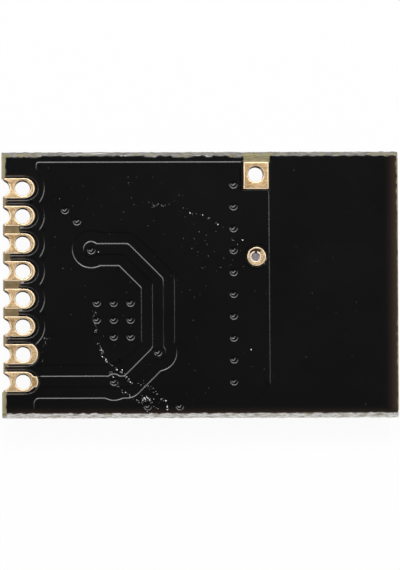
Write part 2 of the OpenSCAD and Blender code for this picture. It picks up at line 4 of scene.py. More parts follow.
import bpy
import numpy as np
from mathutils import Matrix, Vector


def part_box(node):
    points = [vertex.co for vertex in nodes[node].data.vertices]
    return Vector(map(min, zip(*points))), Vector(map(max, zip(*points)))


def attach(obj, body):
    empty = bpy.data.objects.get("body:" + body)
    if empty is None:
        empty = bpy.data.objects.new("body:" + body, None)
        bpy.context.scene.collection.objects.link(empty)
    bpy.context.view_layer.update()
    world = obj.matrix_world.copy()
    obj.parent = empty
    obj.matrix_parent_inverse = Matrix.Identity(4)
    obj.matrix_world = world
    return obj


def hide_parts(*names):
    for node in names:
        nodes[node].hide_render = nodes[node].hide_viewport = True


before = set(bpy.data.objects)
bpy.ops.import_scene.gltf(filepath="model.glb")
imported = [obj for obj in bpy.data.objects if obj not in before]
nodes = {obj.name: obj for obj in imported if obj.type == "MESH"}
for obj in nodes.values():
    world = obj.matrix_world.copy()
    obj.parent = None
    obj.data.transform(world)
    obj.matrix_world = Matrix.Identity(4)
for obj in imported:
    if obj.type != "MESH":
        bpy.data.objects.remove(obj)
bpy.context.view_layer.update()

# The board's sizes in millimetres: x from the castellated edge, y from the centre line, z from the bench
MM = 0.001
BOARD_L, BOARD_W = 18.2, 12.2
FRONT_Z, BACK_Z = 0.945, 1.845
FOIL, PLATING = 0.045, 0.03
SCORE_IN, SCORE_DEPTH = 0.18, 0.3
PAD_PITCH = 1.27
PAD_Y = (4.5 - np.arange(1, 9)) * PAD_PITCH
GROUND_PAD, SUPPLY_PAD = 7, 8
PAD_HOLE_X, PAD_HOLE_R = 0.96, 0.37
LAND_START, LAND_L, LAND_HALF = 0.12, 1.51, 0.465
OPEN_L, OPEN_HALF = 1.645, 0.53
CORNER_LAND, CORNER_MARGIN = ((11.105, 4.375), (12.265, 5.635)), 0.045
CORNER_HOLE = (11.67, 5.07)
ROUND_HOLE, ROUND_HOLE_R = (11.65, 1.262), 0.265
ROUND_LAND, ROUND_LAND_R, ROUND_MARGIN = (11.7, 1.284), 0.44, 0.035
# Beyond this x only the two ground lands lie open
GROUND_SIDE = 10
SUPPLY_W, SUPPLY_CLEAR, SUPPLY_LAND_R = 0.5, 0.51, 0.35
SUPPLY_PATH = [(0.96, -4.445), (5.705, -4.445), (7.15, -3.0), (7.15, 0.18), (5.69, 1.64), (4.09, 1.64)]
SUPPLY_VIAS = [(4.09, 1.64), (7.15, -3.1), (5.12, -4.445)]
GROUND_VIAS = [(2.9, 3.44), (3.45, 2.92), (6.67, -5.59), (8.14, -5.59)]
STITCH_VIAS = [(10.64, 4.6 - 1.005 * i) for i in range(10)]
HEAT_VIAS = [(5.12 + 0.775 * i, -1.6 + 0.775 * j) for i in (-1, 0, 1) for j in (-1, 0, 1)]
# The mask's dimples over the vias; the first is drawn off its via's middle
DIMPLES = [(4.105, 1.595)] + SUPPLY_VIAS[1:] + GROUND_VIAS + STITCH_VIAS + HEAT_VIAS
# The pour: its sides, of which the left and the right lean a little, where its cut lower corner starts, the
# radius of its corners and its room round the pads' holes
POUR_LEFT, LEFT_LEAN, POUR_RIGHT, RIGHT_LEAN = 1.517, 0.0123, 12.277, 0.0033
POUR_UPPER, POUR_LOWER, POUR_CUT_X, POUR_ROUND, PAD_CLEAR = 5.635, -5.8, 11.105, 0.1, 0.99
# The component side: the height of the parts' seat, the solder under them, the chip and the passives
PART_Z, SOLDER_T = 0.85, 0.05
CHIP_AT, CHIP_L, HEAT_PAD = (5.12, -1.6), 4.0, 2.6
LEAD_PITCH, LEAD_L, LEAD_W, LEAD_OUT = 0.5, 0.4, 0.25, 0.3
PASSIVE_L, PASSIVE_W, PASSIVE_H = 1.0, 0.5, {"capacitor": 0.5, "inductor": 0.5, "resistor": 0.35}
CAP_L, CAP_T, LAND_OUT = 0.25, 0.02, 0.2

# How the mask lies: its heights, the width of its slope over a copper edge and of its rounded lips
MASK_HIGH, MASK_LOW = 1.92, 1.902
MASK_SLOPE, MASK_LIP, PAD_LIP, GROUND_LIP = 0.075, 0.027, 0.055, 0.012
# At this height the black mask runs on across the bare gap round each land: painted shade for the gap
MOAT_Z = BACK_Z + 0.008
# Where the mask stops along the score cuts and round the bare corner above the square land
MASK_LEFT, MASK_RIGHT, MASK_UPPER, MASK_LOWER = 0.19, 18.13, 5.925, -5.905
BARE_CORNER = ((11.09, 5.6), (12.315, 7))
# How far the mask's strips between the pads are broken off, and half the width that is gone
DAM_BROKEN, DAM_HALF = [0.21, 0.82, 0.38, 0.82, 0.75, 0.18, 0.2], 0.2
# Bites in the mask along the upper score cut: start, end and depth
BITES = [(-1.0, 1.85, 0.055), (6.5, 7.15, 0.05), (7.75, 8.85, 0.06), (9.35, 9.75, 0.05), (10.4, 11.1, 0.07)]
# The dimples' craters and the pits in them
CRATER_R, CRATER_WALL, CRATER_DEPTH = 0.2, 0.055, 0.016
PIT_R, PIT_DEPTH = 0.135, 0.018
# Scratch trails over the mask: points along each, its number of chips, how far they stray, how pale they get
SCRATCHES = [
    ([(4.2, -1.05), (4.27, -1.75), (4.3, -2.05), (4.38, -2.35), (4.41, -2.6), (4.5, -2.95), (4.56, -3.25),
      (4.75, -3.43), (4.95, -3.68), (5.28, -3.93), (5.61, -4.12), (5.89, -4.5), (6.5, -4.57), (6.89, -4.75),
      (7.15, -5.2), (7.5, -5.36), (7.56, -5.73)], 110, 0.045, 0.55),
    ([(4.94, -4.0), (5.11, -4.26), (5.39, -4.73), (5.64, -4.96), (6.0, -5.23), (6.34, -5.43), (6.56, -5.73)],
     34, 0.035, 0.55),
    ([(6.35, -5.35), (6.6, -5.2), (6.85, -5.35), (7.05, -5.65), (6.55, -5.75)], 40, 0.09, 0.8),
    ([(6.95, 3.65), (8.0, 3.75), (8.65, 3.25), (9.3, 3.15), (9.9, 2.8), (10.25, 2.45), (10.6, 2.0),
      (10.9, 1.75), (11.05, 1.35)], 18, 0.03, 0.35),
    ([(6.9, 3.7), (7.05, 3.6), (7.45, 3.63)], 16, 0.06, 0.25),
    ([(1.95, -2.4), (1.94, -2.56), (1.84, -3.56)], 10, 0.06, 0.2),
    ([(5.6, 4.3), (9.2, 2.4), (9.6, 1.0)], 26, 0.55, 0.06),
]
# The brightest chips, and how much faint dust lies over the rest
BRIGHT_FLECKS = [
    (4.55, -3.0), (4.58, -3.31), (4.75, -3.42), (5.27, -3.9), (5.5, -3.93), (5.1, -4.24), (5.7, -4.23),
    (5.88, -4.48), (5.65, -4.95), (6.5, -5.2), (6.61, -5.17), (6.75, -5.28), (6.56, -5.26), (6.68, -5.22),
    (6.45, -5.29), (7.5, -5.34), (7.55, -5.62), (7.55, -5.73), (11.05, 2.04), (8.65, 3.28), (9.22, 3.19),
    (9.92, 2.76), (4.43, 1.51), (11.42, -3.0)]
DUST = 140


def linear(code):
    """sRGB hex code as linear red, green, blue and alpha."""
    c = np.array([int(code[i:i + 2], 16) for i in (1, 3, 5)]) / 255
    c = np.where(c <= 0.04045, c / 12.92, ((c + 0.055) / 1.055) ** 2.4)
    return (*c.tolist(), 1.0)


def add(material, kind, settings=(), **inputs):
    """Adds one shader node of a kind: settings are its properties, inputs its sockets by number (n0, n1) or
    name. An input takes a socket, a node for its first working output, a colour's hex code or a value."""
    tree = material.node_tree
    node = tree.nodes.new("ShaderNode" + kind)
    for name, value in dict(settings).items():
        setattr(node, name, value)
    for name, value in inputs.items():
        key = int(name[1:]) if name[1:].isdigit() else name.replace("_", " ")
        if isinstance(value, bpy.types.Node):
            value = next(socket for socket in value.outputs if socket.enabled)
        if isinstance(value, bpy.types.NodeSocket):
            tree.links.new(value, node.inputs[key])
        else:
            node.inputs[key].default_value = linear(value) if isinstance(value, str) else value
    return node


# Settings of nodes that are used again and again
RGBA = {"data_type": "RGBA"}
TIMES, LARGER = {"operation": "MULTIPLY"}, {"operation": "MAXIMUM"}


def new_material(name, *attributes):
    """An empty node material, its Object coordinates in millimetres, and attributes of its pieces' points."""
    material = bpy.data.materials.new(name)
    material.use_nodes = True
    material.node_tree.nodes.clear()
    place = add(material, "TexCoord").outputs["Object"]
    millimetres = add(material, "VectorMath", {"operation": "SCALE"}, n0=place, Scale=1 / MM)
    return material, millimetres, *[add(material, "Attribute", {"attribute_name": key}).outputs["Fac"]
                                    for key in attributes]


def surface(material, relief=None, strength=0.0, depth=0.0, **look):
    """Finishes a material: its look, and a relief from a texture with a strength and a depth in mm."""
    if relief is not None:
        look["Normal"] = add(material, "Bump", Strength=strength, Distance=depth * MM, Height=relief)
    add(material, "OutputMaterial", Surface=add(material, "BsdfPrincipled", **look))
    return material


def solder_mask():
    """Black epoxy solder mask, screened wet and cured: satin black with a faint orange peel, a little duller
    in places from handling, brown where it thins out to the right and the lower edge, and a painted highlight
    in warm grey along the lips of the openings by the edge pads."""
    m, place, film = new_material("black_solder_mask", "film")
    peel = add(m, "TexNoise", Vector=place, Scale=1 / 0.35, Detail=3.0)
    haze = add(m, "TexNoise", Vector=place, Scale=1 / 3.0, Detail=4.0)
    black = add(m, "Mix", RGBA, Factor=haze, n6="#060607", n7="#0a0a0a")
    spot = add(m, "SeparateXYZ", Vector=place).outputs
    right = add(m, "MapRange", Value=spot[0], n1=8.3, n2=9.05)
    lower = add(m, "MapRange", Value=spot[1], n1=-5.45, n2=-5.92, n4=0.8)
    near = add(m, "Math", LARGER, n0=right, n1=lower)
    thin = add(m, "Math", {"operation": "POWER"}, n0=near, n1=3.0)
    brown = add(m, "Mix", RGBA, Factor=thin, n6=black, n7="#45362b")
    # Painted highlight: warm grey on the openings' lips, where the attribute marks them
    tone = add(m, "Mix", RGBA, Factor=film, n6=brown, n7="#62564c")
    satin = add(m, "MapRange", Value=haze, n3=0.17, n4=0.24)
    return surface(m, peel, 0.06, 0.02, Base_Color=tone, Roughness=satin, IOR=1.5)


def scratched_mask():
    """Mask chipped by a scratch: dry, powdery flakes from dark grey to almost white."""
    m, place, pale = new_material("scratched_solder_mask", "pale")
    grit = add(m, "TexNoise", Vector=place, Scale=1 / 0.02, Detail=2.0)
    share = add(m, "Math", TIMES, n0=pale, n1=add(m, "MapRange", Value=grit, n3=0.7, n4=1.2))
    tone = add(m, "Mix", RGBA, Factor=share, n6="#141415", n7="#fbfaf7")
    return surface(m, Base_Color=tone, Roughness=0.75, IOR=1.5)


def gold_plate():
    """Immersion gold over nickel on etched copper: a matte, slightly grainy pale gold, with painted
    highlights in cream on the rounded rims, and painted shade in dull dark brown, not metallic, at the holes."""
    m, place, rim, bore = new_material("immersion_gold", "rim", "bore")
    grain = add(m, "TexNoise", Vector=place, Scale=1 / 0.075, Detail=3.0)
    stain_and_shade = add(m, "TexNoise", Vector=place, Scale=1 / 0.8, Detail=2.0)
    mixed = add(m, "Mix", Factor=0.35, n2=grain, n3=stain_and_shade)
    spread = add(m, "MapRange", Value=mixed, n1=0.36, n2=0.64)
    tone = add(m, "Mix", RGBA, Factor=spread, n6="#9a7649", n7="#e7cba1")
    # Painted highlight: cream where the rim attribute marks the lands' rims and the near side of the lips
    edge = add(m, "Mix", RGBA, Factor=rim, n6=tone, n7="#fdeacb")
    # Painted shade: dark brown and less metallic where the bore attribute marks the holes' far side and
    # barrels
    colour = add(m, "Mix", RGBA, Factor=bore, n6=edge, n7="#2a1107")
    dull = add(m, "Mix", Factor=rim, n2=0.56, n3=0.58)
    bare = add(m, "Math", {"operation": "SUBTRACT"}, n0=1.0, n1=bore)
    sheen = add(m, "Math", TIMES, n0=bare, n1=0.5)
    return surface(m, grain, 0.25, 0.01, Base_Color=colour, Metallic=bare, Specular_IOR_Level=sheen,
                   Roughness=dull)


def glass_epoxy():
    """Woven glass in epoxy, as laid up and pressed: khaki, with the faint check of the glass cloth and its
    plies on the cut edges, browner between the pads as painted shade, and paler with dust along the routed
    edge."""
    m, place = new_material("glass_epoxy")
    warp, weft = [add(m, "TexWave", {"bands_direction": axis}, Vector=place, Scale=math.pi / 10 / 0.45,
                      Distortion=1.5, Detail=1.0).outputs["Fac"] for axis in "XY"]
    cloth = add(m, "Math", TIMES, n0=warp, n1=weft)
    cloud = add(m, "TexNoise", Vector=place, Scale=1 / 0.25, Detail=4.0)
    ply = add(m, "TexWave", {"bands_direction": "Z"}, Vector=place, Scale=math.pi / 10 / 0.18,
              Distortion=1.0, Detail=2.0).outputs["Fac"]
    both = add(m, "Mix", Factor=0.6, n2=cloth, n3=cloud)
    khaki = add(m, "Mix", RGBA, Factor=both, n6="#7d7150", n7="#a89d72")
    brown = add(m, "Mix", RGBA, Factor=both, n6="#634e2c", n7="#9a8250")
    spot = add(m, "SeparateXYZ", Vector=place).outputs
    across = add(m, "Math", {"operation": "ABSOLUTE"}, n0=spot[1])
    row = add(m, "MapRange", Value=across, n1=4.85, n2=5.0, n3=1.0, n4=0.0)
    near = add(m, "MapRange", Value=spot[0], n1=-7.6, n2=-7.3, n3=1.0, n4=0.0)
    # Painted shade: browner laminate in the rows between the edge pads
    shade_between_pads = add(m, "Math", TIMES, n0=row, n1=near)
    tone = add(m, "Mix", RGBA, Factor=shade_between_pads, n6=khaki, n7=brown)
    dusty = add(m, "MapRange", Value=spot[0], n1=-9.06, n2=-8.9, n3=0.5, n4=0.0)
    tone = add(m, "Mix", RGBA, Factor=dusty, n6=tone, n7="#b9ad93")
    cut = add(m, "MapRange", Value=ply, n1=0.1, n2=0.75, n3=0.72, n4=1.0)
    tone = add(m, "Mix", {**RGBA, "blend_type": "MULTIPLY"}, Factor=1.0, n6=tone, n7=cut)
    return surface(m, both, 0.4, 0.02, Base_Color=tone, Roughness=0.55, IOR=1.55)


def torn_fibre(name, dark, pale):
    """Glass cloth torn along a score cut: pale broken fibres that run along the edge, with khaki resin where
    it kept its surface and white tufts where it frayed."""
    m, place, resin = new_material(name, "resin")
    along = add(m, "Mapping", Vector=place, Scale=(0.25, 1.0, 1.0))
    fibre = add(m, "TexNoise", Vector=along, Scale=1 / 0.07, Detail=3.0)
    spread = add(m, "MapRange", Value=fibre, n1=0.33, n2=0.57)
    white = add(m, "Mix", RGBA, Factor=spread, n6=dark, n7=pale)
    tuft = add(m, "TexNoise", Vector=along, Scale=1 / 0.3, Detail=2.0)
    frayed = add(m, "MapRange", Value=tuft, n1=0.62, n2=0.72)
    white = add(m, "Mix", RGBA, Factor=frayed, n6=white, n7="#efede8")
    khaki = add(m, "Mix", RGBA, Factor=spread, n6="#746c4b", n7="#988f67")
    colour = add(m, "Mix", RGBA, Factor=resin, n6=white, n7=khaki)
    return surface(m, fibre, 0.7, 0.03, Base_Color=colour, Roughness=0.8, IOR=1.5)


def solder():
    """Reflowed tin-silver solder: bright grey with a warm cast, frosted where it froze last, tarnished to a
    dull mauve where flux stayed on it, and dark brown where shade is painted on it."""
    m, place, tarnish, burnt = new_material("tin_silver_solder", "tarnish", "burnt")
    frost = add(m, "TexNoise", Vector=place, Scale=1 / 0.08, Detail=4.0)
    spread = add(m, "MapRange", Value=frost, n1=0.3, n2=0.7)
    bright = add(m, "Mix", RGBA, Factor=spread, n6="#c9c2b4", n7="#f4eddd")
    dull = add(m, "Mix", RGBA, Factor=spread, n6="#5b5154", n7="#b8acad")
    tone = add(m, "Mix", RGBA, Factor=tarnish, n6=bright, n7=dull)
    # Painted shade: dark brown where the attribute marks it
    tone = add(m, "Mix", RGBA, Factor=burnt, n6=tone, n7="#2e1b10")
    frosted = add(m, "MapRange", Value=frost, n1=0.3, n2=0.7, n3=0.46, n4=0.62)
    return surface(m, frost, 0.4, 0.015, Base_Color=tone, Metallic=1.0, Roughness=frosted)


def fine_grained(name, dark, pale, grain, rough_low, rough_high, metal=0.0, relief=0.3):
    """An even surface: two tones mixed by noise as fine as its grain in millimetres with a faint cloud over
    it, and its gloss and a low relief from the same noise."""
    m, place = new_material(name)
    speck = add(m, "TexNoise", Vector=place, Scale=1 / grain, Detail=3.0)
    cloud = add(m, "TexNoise", Vector=place, Scale=1 / (12 * grain), Detail=2.0)
    both = add(m, "Mix", Factor=0.4, n2=speck, n3=cloud)
    spread = add(m, "MapRange", Value=both, n1=0.3, n2=0.7)
    tone = add(m, "Mix", RGBA, Factor=spread, n6=dark, n7=pale)
    gloss = add(m, "MapRange", Value=both, n1=0.3, n2=0.7, n3=rough_low, n4=rough_high)
    return surface(m, speck, relief, 0.2 * grain, Base_Color=tone, Metallic=metal, Roughness=gloss)


def box_gap(x, y, low, high):
    """Signed distance to a box: the larger axis gap inside, the distance to the nearest side outside."""
    gx = np.maximum(low[0] - x, x - high[0])
    gy = np.maximum(low[1] - y, y - high[1])
    return np.minimum(np.maximum(gx, gy), 0) + np.hypot(np.maximum(gx, 0), np.maximum(gy, 0))


def disc_gap(x, y, centre, r):
    """Signed distance to a disc: the distance to its centre less its radius."""
    return np.hypot(x - centre[0], y - centre[1]) - r


def path_gap(x, y, path, w):
    """Signed distance to a trace: the least distance to its straight stretches less half its width."""
    best = np.full(np.shape(x), np.inf)
    for (ax, ay), (bx, by) in zip(path[:-1], path[1:]):
        ux, uy = bx - ax, by - ay
        t = np.clip(((x - ax) * ux + (y - ay) * uy) / (ux * ux + uy * uy), 0, 1)
        best = np.minimum(best, np.hypot(x - ax - t * ux, y - ay - t * uy))
    return best - w / 2


def tongue_gap(x, y, length, half):
    """Signed distance to a tongue from the castellated edge to a round end of radius half."""
    return np.hypot(np.maximum(x - (length - half), 0), y) - half


def land_gap(x, y, number):
    """Signed distance to an edge pad's land: a tongue, torn back a little by the rout, less the round notch.
    The ground land fills its opening's end, and the supply land has a stub where the trace goes on."""
    v = y - PAD_Y[number - 1]
    opening = tongue_gap(x, v, OPEN_L, OPEN_HALF)
    gap = tongue_gap(x, v, LAND_L, LAND_HALF)
    if number == GROUND_PAD:
        gap = np.maximum(opening, np.abs(v) - LAND_HALF)
    if number == SUPPLY_PAD:
        gap = np.minimum(gap, np.maximum.reduce([opening, np.abs(v) - SUPPLY_W / 2, PAD_HOLE_X - x]))
    return np.maximum.reduce([gap, LAND_START - x, PAD_HOLE_R - np.hypot(x, v)])


def shared_gap(one, other, r):
    """Signed distance to what two shapes share, with its corners rounded by r: the larger distance, and round
    a corner the distance to a centre set in by r."""
    a, b = one + r, other + r
    return np.minimum(np.maximum(a, b), 0) + np.hypot(np.maximum(a, 0), np.maximum(b, 0)) - r


def copper_gap(x, y):
    """Signed distance to the copper under the mask: the pour less the room round the pads and the supply
    trace, or the trace itself with its via lands."""
    lands = [disc_gap(x, y, via, SUPPLY_LAND_R) for via in SUPPLY_VIAS]
    supply = np.minimum.reduce([path_gap(x, y, SUPPLY_PATH, SUPPLY_W), *lands])
    rooms = [-disc_gap(x, y, (PAD_HOLE_X, v), PAD_CLEAR) for i, v in enumerate(PAD_Y, 1) if i != GROUND_PAD]
    cut_corner = (x - POUR_CUT_X - y + POUR_LOWER) / math.sqrt(2)
    pour = np.maximum.reduce([x - POUR_RIGHT + RIGHT_LEAN * y, y - POUR_UPPER, POUR_LOWER - y, cut_corner,
                              SUPPLY_CLEAR - supply, *rooms])
    return np.minimum(shared_gap(POUR_LEFT + LEFT_LEAN * y - x, pour, POUR_ROUND), supply)


def rough(x, y, size, seed):
    """Smooth random field of about unit height: plane waves of random heading, phase and length near size."""
    rng = np.random.default_rng(seed)
    total = np.zeros(np.broadcast(x, y).shape)
    for heading, phase, share in zip(*rng.uniform([[0.0], [0.0], [0.6]], [[6.28], [6.28], [1.8]], (3, 16))):
        total += np.sin((np.cos(heading) * x + np.sin(heading) * y) * 2 * np.pi / (size * share) + phase)
    return total / math.sqrt(8)


def ease(t):
    """Smooth step from 0 to 1: three times t squared less twice t cubed, with t held between 0 and 1."""
    t = np.clip(t, 0, 1)
    return t * t * (3 - 2 * t)


def bulge(t):
    """Quarter round from 0 to 1: the height of a circle of unit radius at t from its side."""
    return np.sqrt(1 - (1 - np.clip(t, 0, 1)) ** 2)


def mask_edge_gap(x, y):
    """Signed distance to the mask's outer edge: four ragged sides, less the bites of the score cut, the
    strips broken off between the pads and the bare corner above the square land."""
    ragged = 0.012 * rough(x, y, 0.35, 1) + 0.008 * rough(x, y, 0.12, 2)
    upper = MASK_UPPER - sum(d * ease((x - a) / 0.12) * ease((b - x) / 0.12) for a, b, d in BITES)
    right = MASK_RIGHT + 0.03 * ease((4.4 - y) / 0.3)
    gap = np.maximum.reduce([MASK_LEFT - x, x - right, y - upper, MASK_LOWER - y]) + ragged
    for i, broken in enumerate(DAM_BROKEN):
        middle = PAD_Y[i] - PAD_PITCH / 2
        end = broken + 0.03 * rough(x, y, 0.2, 20 + i)
        gap = np.maximum(gap, -box_gap(x, y, (-1, middle - DAM_HALF), (end, middle + DAM_HALF)))
    return np.maximum(gap, ragged / 2 - box_gap(x, y, *BARE_CORNER))


def opening_gap(x, y):
    """Signed distance to the nearest opening in the mask: a tongue over each edge pad, and a narrow margin
    round the square and the round land."""
    return np.minimum.reduce([box_gap(x, y, *CORNER_LAND) - CORNER_MARGIN,
                              disc_gap(x, y, ROUND_LAND, ROUND_LAND_R + ROUND_MARGIN),
                              *[tongue_gap(x, y - v, OPEN_L, OPEN_HALF) for v in PAD_Y]])


def mask_slope(x, y):
    """Width of the mask's slope over a copper edge: wider, so that it hardly catches the light, on the right
    of the supply trace's upright stretch."""
    soft = ease((x - 7.2) / 0.1) * ease((7.75 - x) / 0.1) * ease((y + 3.5) / 0.1) * ease((0.15 - y) / 0.3)
    return MASK_SLOPE * (1 + 0.38 * soft)


def mask_wave(x, y):
    """Long, very low waves of the mask's face."""
    return 0.0008 * rough(x, y, 0.9, 3)


def mask_height(x, y):
    """Height of the mask: high over copper and low over laminate with a smooth slope between, and a
    quarter-round lip, sharper at the two ground lands, down to a thin layer at each opening and outer edge.
    At each opening the black layer runs on over the bare gap round the land: painted shade for that gap."""
    z = MASK_LOW + (MASK_HIGH - MASK_LOW) * ease(0.5 - copper_gap(x, y) / mask_slope(x, y)) + mask_wave(x, y)
    z = MOAT_Z + (z - MOAT_Z) * bulge(opening_gap(x, y) / np.where(x > GROUND_SIDE, GROUND_LIP, PAD_LIP))
    return BACK_Z + (z - BACK_Z) * (0.3 + 0.7 * bulge(-mask_edge_gap(x, y) / MASK_LIP))


def dimple_reach(x, y):
    """Distance to the middle of the nearest dimple."""
    return np.minimum.reduce([np.hypot(x - vx, y - vy) for vx, vy in DIMPLES])


def put(name, data):
    """Puts an object with its data into the scene."""
    thing = bpy.data.objects.new(name, data)
    bpy.context.scene.collection.objects.link(thing)
    return thing


def make_piece(name, points, faces, material, slot, replaced=(), **attributes):
    """Makes a smooth piece from points in board millimetres and quads, and lets it ride on the module."""
    mesh = bpy.data.meshes.new(name)
    mesh.from_pydata(((points - [BOARD_L / 2, 0, 0]) * MM).tolist(), [], faces.tolist())
    mesh.shade_smooth()
    for key, values in attributes.items():
        data = mesh.attributes.new(key, "FLOAT", "POINT").data
        data.foreach_set("value", values.astype(np.float32).ravel())
    mesh.materials.append(material)
    piece = put(name, mesh)
    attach(piece, "root")
    if replaced:
        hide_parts(*replaced)


def around(count):
    """Angles of evenly spaced points round a ring."""
    return np.linspace(0, 2 * np.pi, count, endpoint=False)


def as_points(x, y, z):
    """Rows of points from coordinates that are spread over one common shape."""
    return np.stack(np.broadcast_arrays(x, y, z), -1).reshape(-1, 3)


def grid_faces(rows, columns, wrap=False):
    """Quads of a grid of points stored row by row; wrap joins the last column to the first."""
    i, j = np.meshgrid(np.arange(rows - 1), np.arange(columns if wrap else columns - 1), indexing="ij")
    this, after = i * columns + j, i * columns + (j + 1) % columns
    return np.stack([this, after, after + columns, this + columns], -1).reshape(-1, 4)


def copies(faces, count):
    """Quads of some like parts: those of one, counted on from the points of the parts before."""
    return (faces[None] + (np.arange(count) * (faces.max() + 1))[:, None, None]).reshape(-1, 4)


def joined(parts):
    """Points and quads of some parts as those of one, the quads counted on from the points before."""
    starts = np.cumsum([0] + [len(points) for points, _ in parts[:-1]])
    return (np.concatenate([points for points, _ in parts]),
            np.concatenate([faces + start for (_, faces), start in zip(parts, starts)]))


def heading(gap, x, y):
    """Unit gradient of a signed distance: its differences over a short step both ways, over their length."""
    step = 0.004
    gx, gy = gap(x + step, y) - gap(x - step, y), gap(x, y + step) - gap(x, y - step)
    size = np.maximum(np.hypot(gx, gy), 1e-9)
    return gx / size, gy / size


def outline(gap, step):
    """Outline of a shape from its signed distance: the points where the distance changes sign along the lines
    of a grid over the board, by linear interpolation, and the pairs of points that share a cell of it."""
    # The grid starts off round numbers, so that none of its lines runs along an edge
    xs, ys = np.arange(-0.1137, BOARD_L + 0.2, step), np.arange(-6.2171, 6.25, step)
    d = gap(*np.meshgrid(xs, ys, indexing="ij"))
    cross_x, cross_y = (d[:-1] < 0) != (d[1:] < 0), (d[:, :-1] < 0) != (d[:, 1:] < 0)
    i, j = np.nonzero(cross_x)
    on_x = np.stack([xs[i] + step * d[i, j] / (d[i, j] - d[i + 1, j]), ys[j]], -1)
    i, j = np.nonzero(cross_y)
    on_y = np.stack([xs[i], ys[j] + step * d[i, j] / (d[i, j] - d[i, j + 1])], -1)
    number_x = np.cumsum(cross_x).reshape(cross_x.shape) - 1
    number_y = np.cumsum(cross_y).reshape(cross_y.shape) - 1 + len(on_x)
    crossed, numbers = [np.stack([a[:, :-1], b[1:], a[:, 1:], b[:-1]], -1)
                        for a, b in ((cross_x, cross_y), (number_x, number_y))]
    two = crossed.sum(-1) == 2
    return np.concatenate([on_x, on_y]), numbers[two][crossed[two]].reshape(-1, 2)


def edge_strip(gap, offsets, keep, step, lift, foot=False):
    """Strip of mask along an outline: its points, set on the edge itself, moved by each offset along the
    distance's gradient and lifted to the mask's height, where keep is true; a foot adds a last row down on
    the laminate. Quads that would fold over at a corner are left out."""
    points, pairs = outline(gap, step)
    points = points - gap(*points.T)[:, None] * np.stack(heading(gap, *points.T), -1)
    nx, ny = heading(gap, *points.T)
    pairs = pairs[keep(*points.T)[pairs].all(1)]
    run = points[pairs[:, 1]] - points[pairs[:, 0]]
    turned = run[:, 0] * ny[pairs[:, 0]] - run[:, 1] * nx[pairs[:, 0]] < 0
    pairs[turned] = pairs[turned][:, ::-1]
    x = points[:, :1] + nx[:, None] * np.array(offsets)
    y = points[:, 1:] + ny[:, None] * np.array(offsets)
    z = mask_height(x, y) + lift
    if foot:
        x, y = [np.pad(v, ((0, 0), (0, 1)), "edge") for v in (x, y)]
        z = np.pad(z, ((0, 0), (0, 1)), constant_values=BACK_Z - 0.002)
    rows = x.shape[1]
    k = np.arange(rows - 1)
    a, b = pairs[:, :1] * rows + k, pairs[:, 1:] * rows + k
    faces = np.stack([a, b, b + 1, a + 1], -1).reshape(-1, 4)
    points = as_points(x, y, z)
    corners = points[faces, :2]
    one, other = (corners[:, 2] - corners[:, 0]).T, (corners[:, 3] - corners[:, 1]).T
    folded = one[0] * other[1] - one[1] * other[0] < -1e-9
    return points, faces[~folded]


def mask_sheet():
    """Flat of the mask: a grid over the board, kept where a cell's corners are well inside, at the high or
    the low level, and sunk under the dimples; the strips lie over its steps and rims."""
    xs, ys = np.linspace(0.1, BOARD_L, 240), np.linspace(-6.0, 6.0, 160)
    x, y = np.meshgrid(xs, ys, indexing="ij")
    z = np.where(copper_gap(x, y) < -mask_slope(x, y) / 2 - 0.01, MASK_HIGH, MASK_LOW) + mask_wave(x, y)
    z = z - 0.04 * (dimple_reach(x, y) < CRATER_R + 0.025)
    inside = (mask_edge_gap(x, y) < -0.03) & (opening_gap(x, y) > 0.06)
    faces = grid_faces(len(xs), len(ys))
    return as_points(x, y, z), faces[inside.ravel()[faces].all(1)][:, ::-1]


def back_mask_piece(material):
    """The mask on the back: its flat, and strips along the copper's edges, round the openings and along its
    outer edge. Round the ground lands the strip is narrow, to stay clear of the copper's edges, but for the
    square land's right side. A painted highlight in warm grey lies along the lips of the openings by the
    edge pads, most of all between them."""
    # Rows at negative offsets carry the black layer into the opening, over the bare gap: painted shade
    rim = [-0.11, -0.03, -0.004, 0, 0.004, 0.01, 0.018]
    wide_from, narrow_to = 12.15, 12.23
    points, faces = joined([
        mask_sheet(),
        edge_strip(copper_gap, [-0.24, -0.1, -0.06, *np.linspace(-0.04, 0.04, 9), 0.06, 0.09],
                   lambda x, y: (opening_gap(x, y) > -0.02) & (mask_edge_gap(x, y) < -0.02), 0.07, 0.0005),
        edge_strip(opening_gap, rim + [0.027, 0.036, 0.06, 0.105, 0.19],
                   lambda x, y: (mask_edge_gap(x, y) < 0.02) & ((x < GROUND_SIDE) | (x > wide_from)),
                   0.07, 0.0002),
        edge_strip(opening_gap, rim + [0.03, 0.075],
                   lambda x, y: (mask_edge_gap(x, y) < 0.02) & (x > GROUND_SIDE) & (x < narrow_to),
                   0.07, 0.0002),
        edge_strip(mask_edge_gap, [-0.16, -0.06, -0.036, -0.027, -0.018, -0.01, -0.004, 0],
                   lambda x, y: opening_gap(x, y) > -0.06, 0.06, 0.0002, foot=True),
    ])
    x, y, z = points[faces].mean(1).T
    faces = faces[~((dimple_reach(x, y) < CRATER_R + 0.02) & (z > MASK_HIGH - 0.03))]
    used, faces = np.unique(faces, return_inverse=True)
    points = points[used]
    x, y, _ = points.T
    beside = opening_gap(x, y)
    # Painted highlight: a band along the lips of the openings, near the edge pads only
    film = ease(beside / 0.02) * ease((0.07 - beside) / 0.03) * ease((3 - x) / 0.1)
    film = film * (0.1 + 0.75 * ease((1.2 - x) / 0.3))
    make_piece("mask_on_back", points, faces.reshape(-1, 4), material, "solder_mask", ["back_mask"],
               film=film)


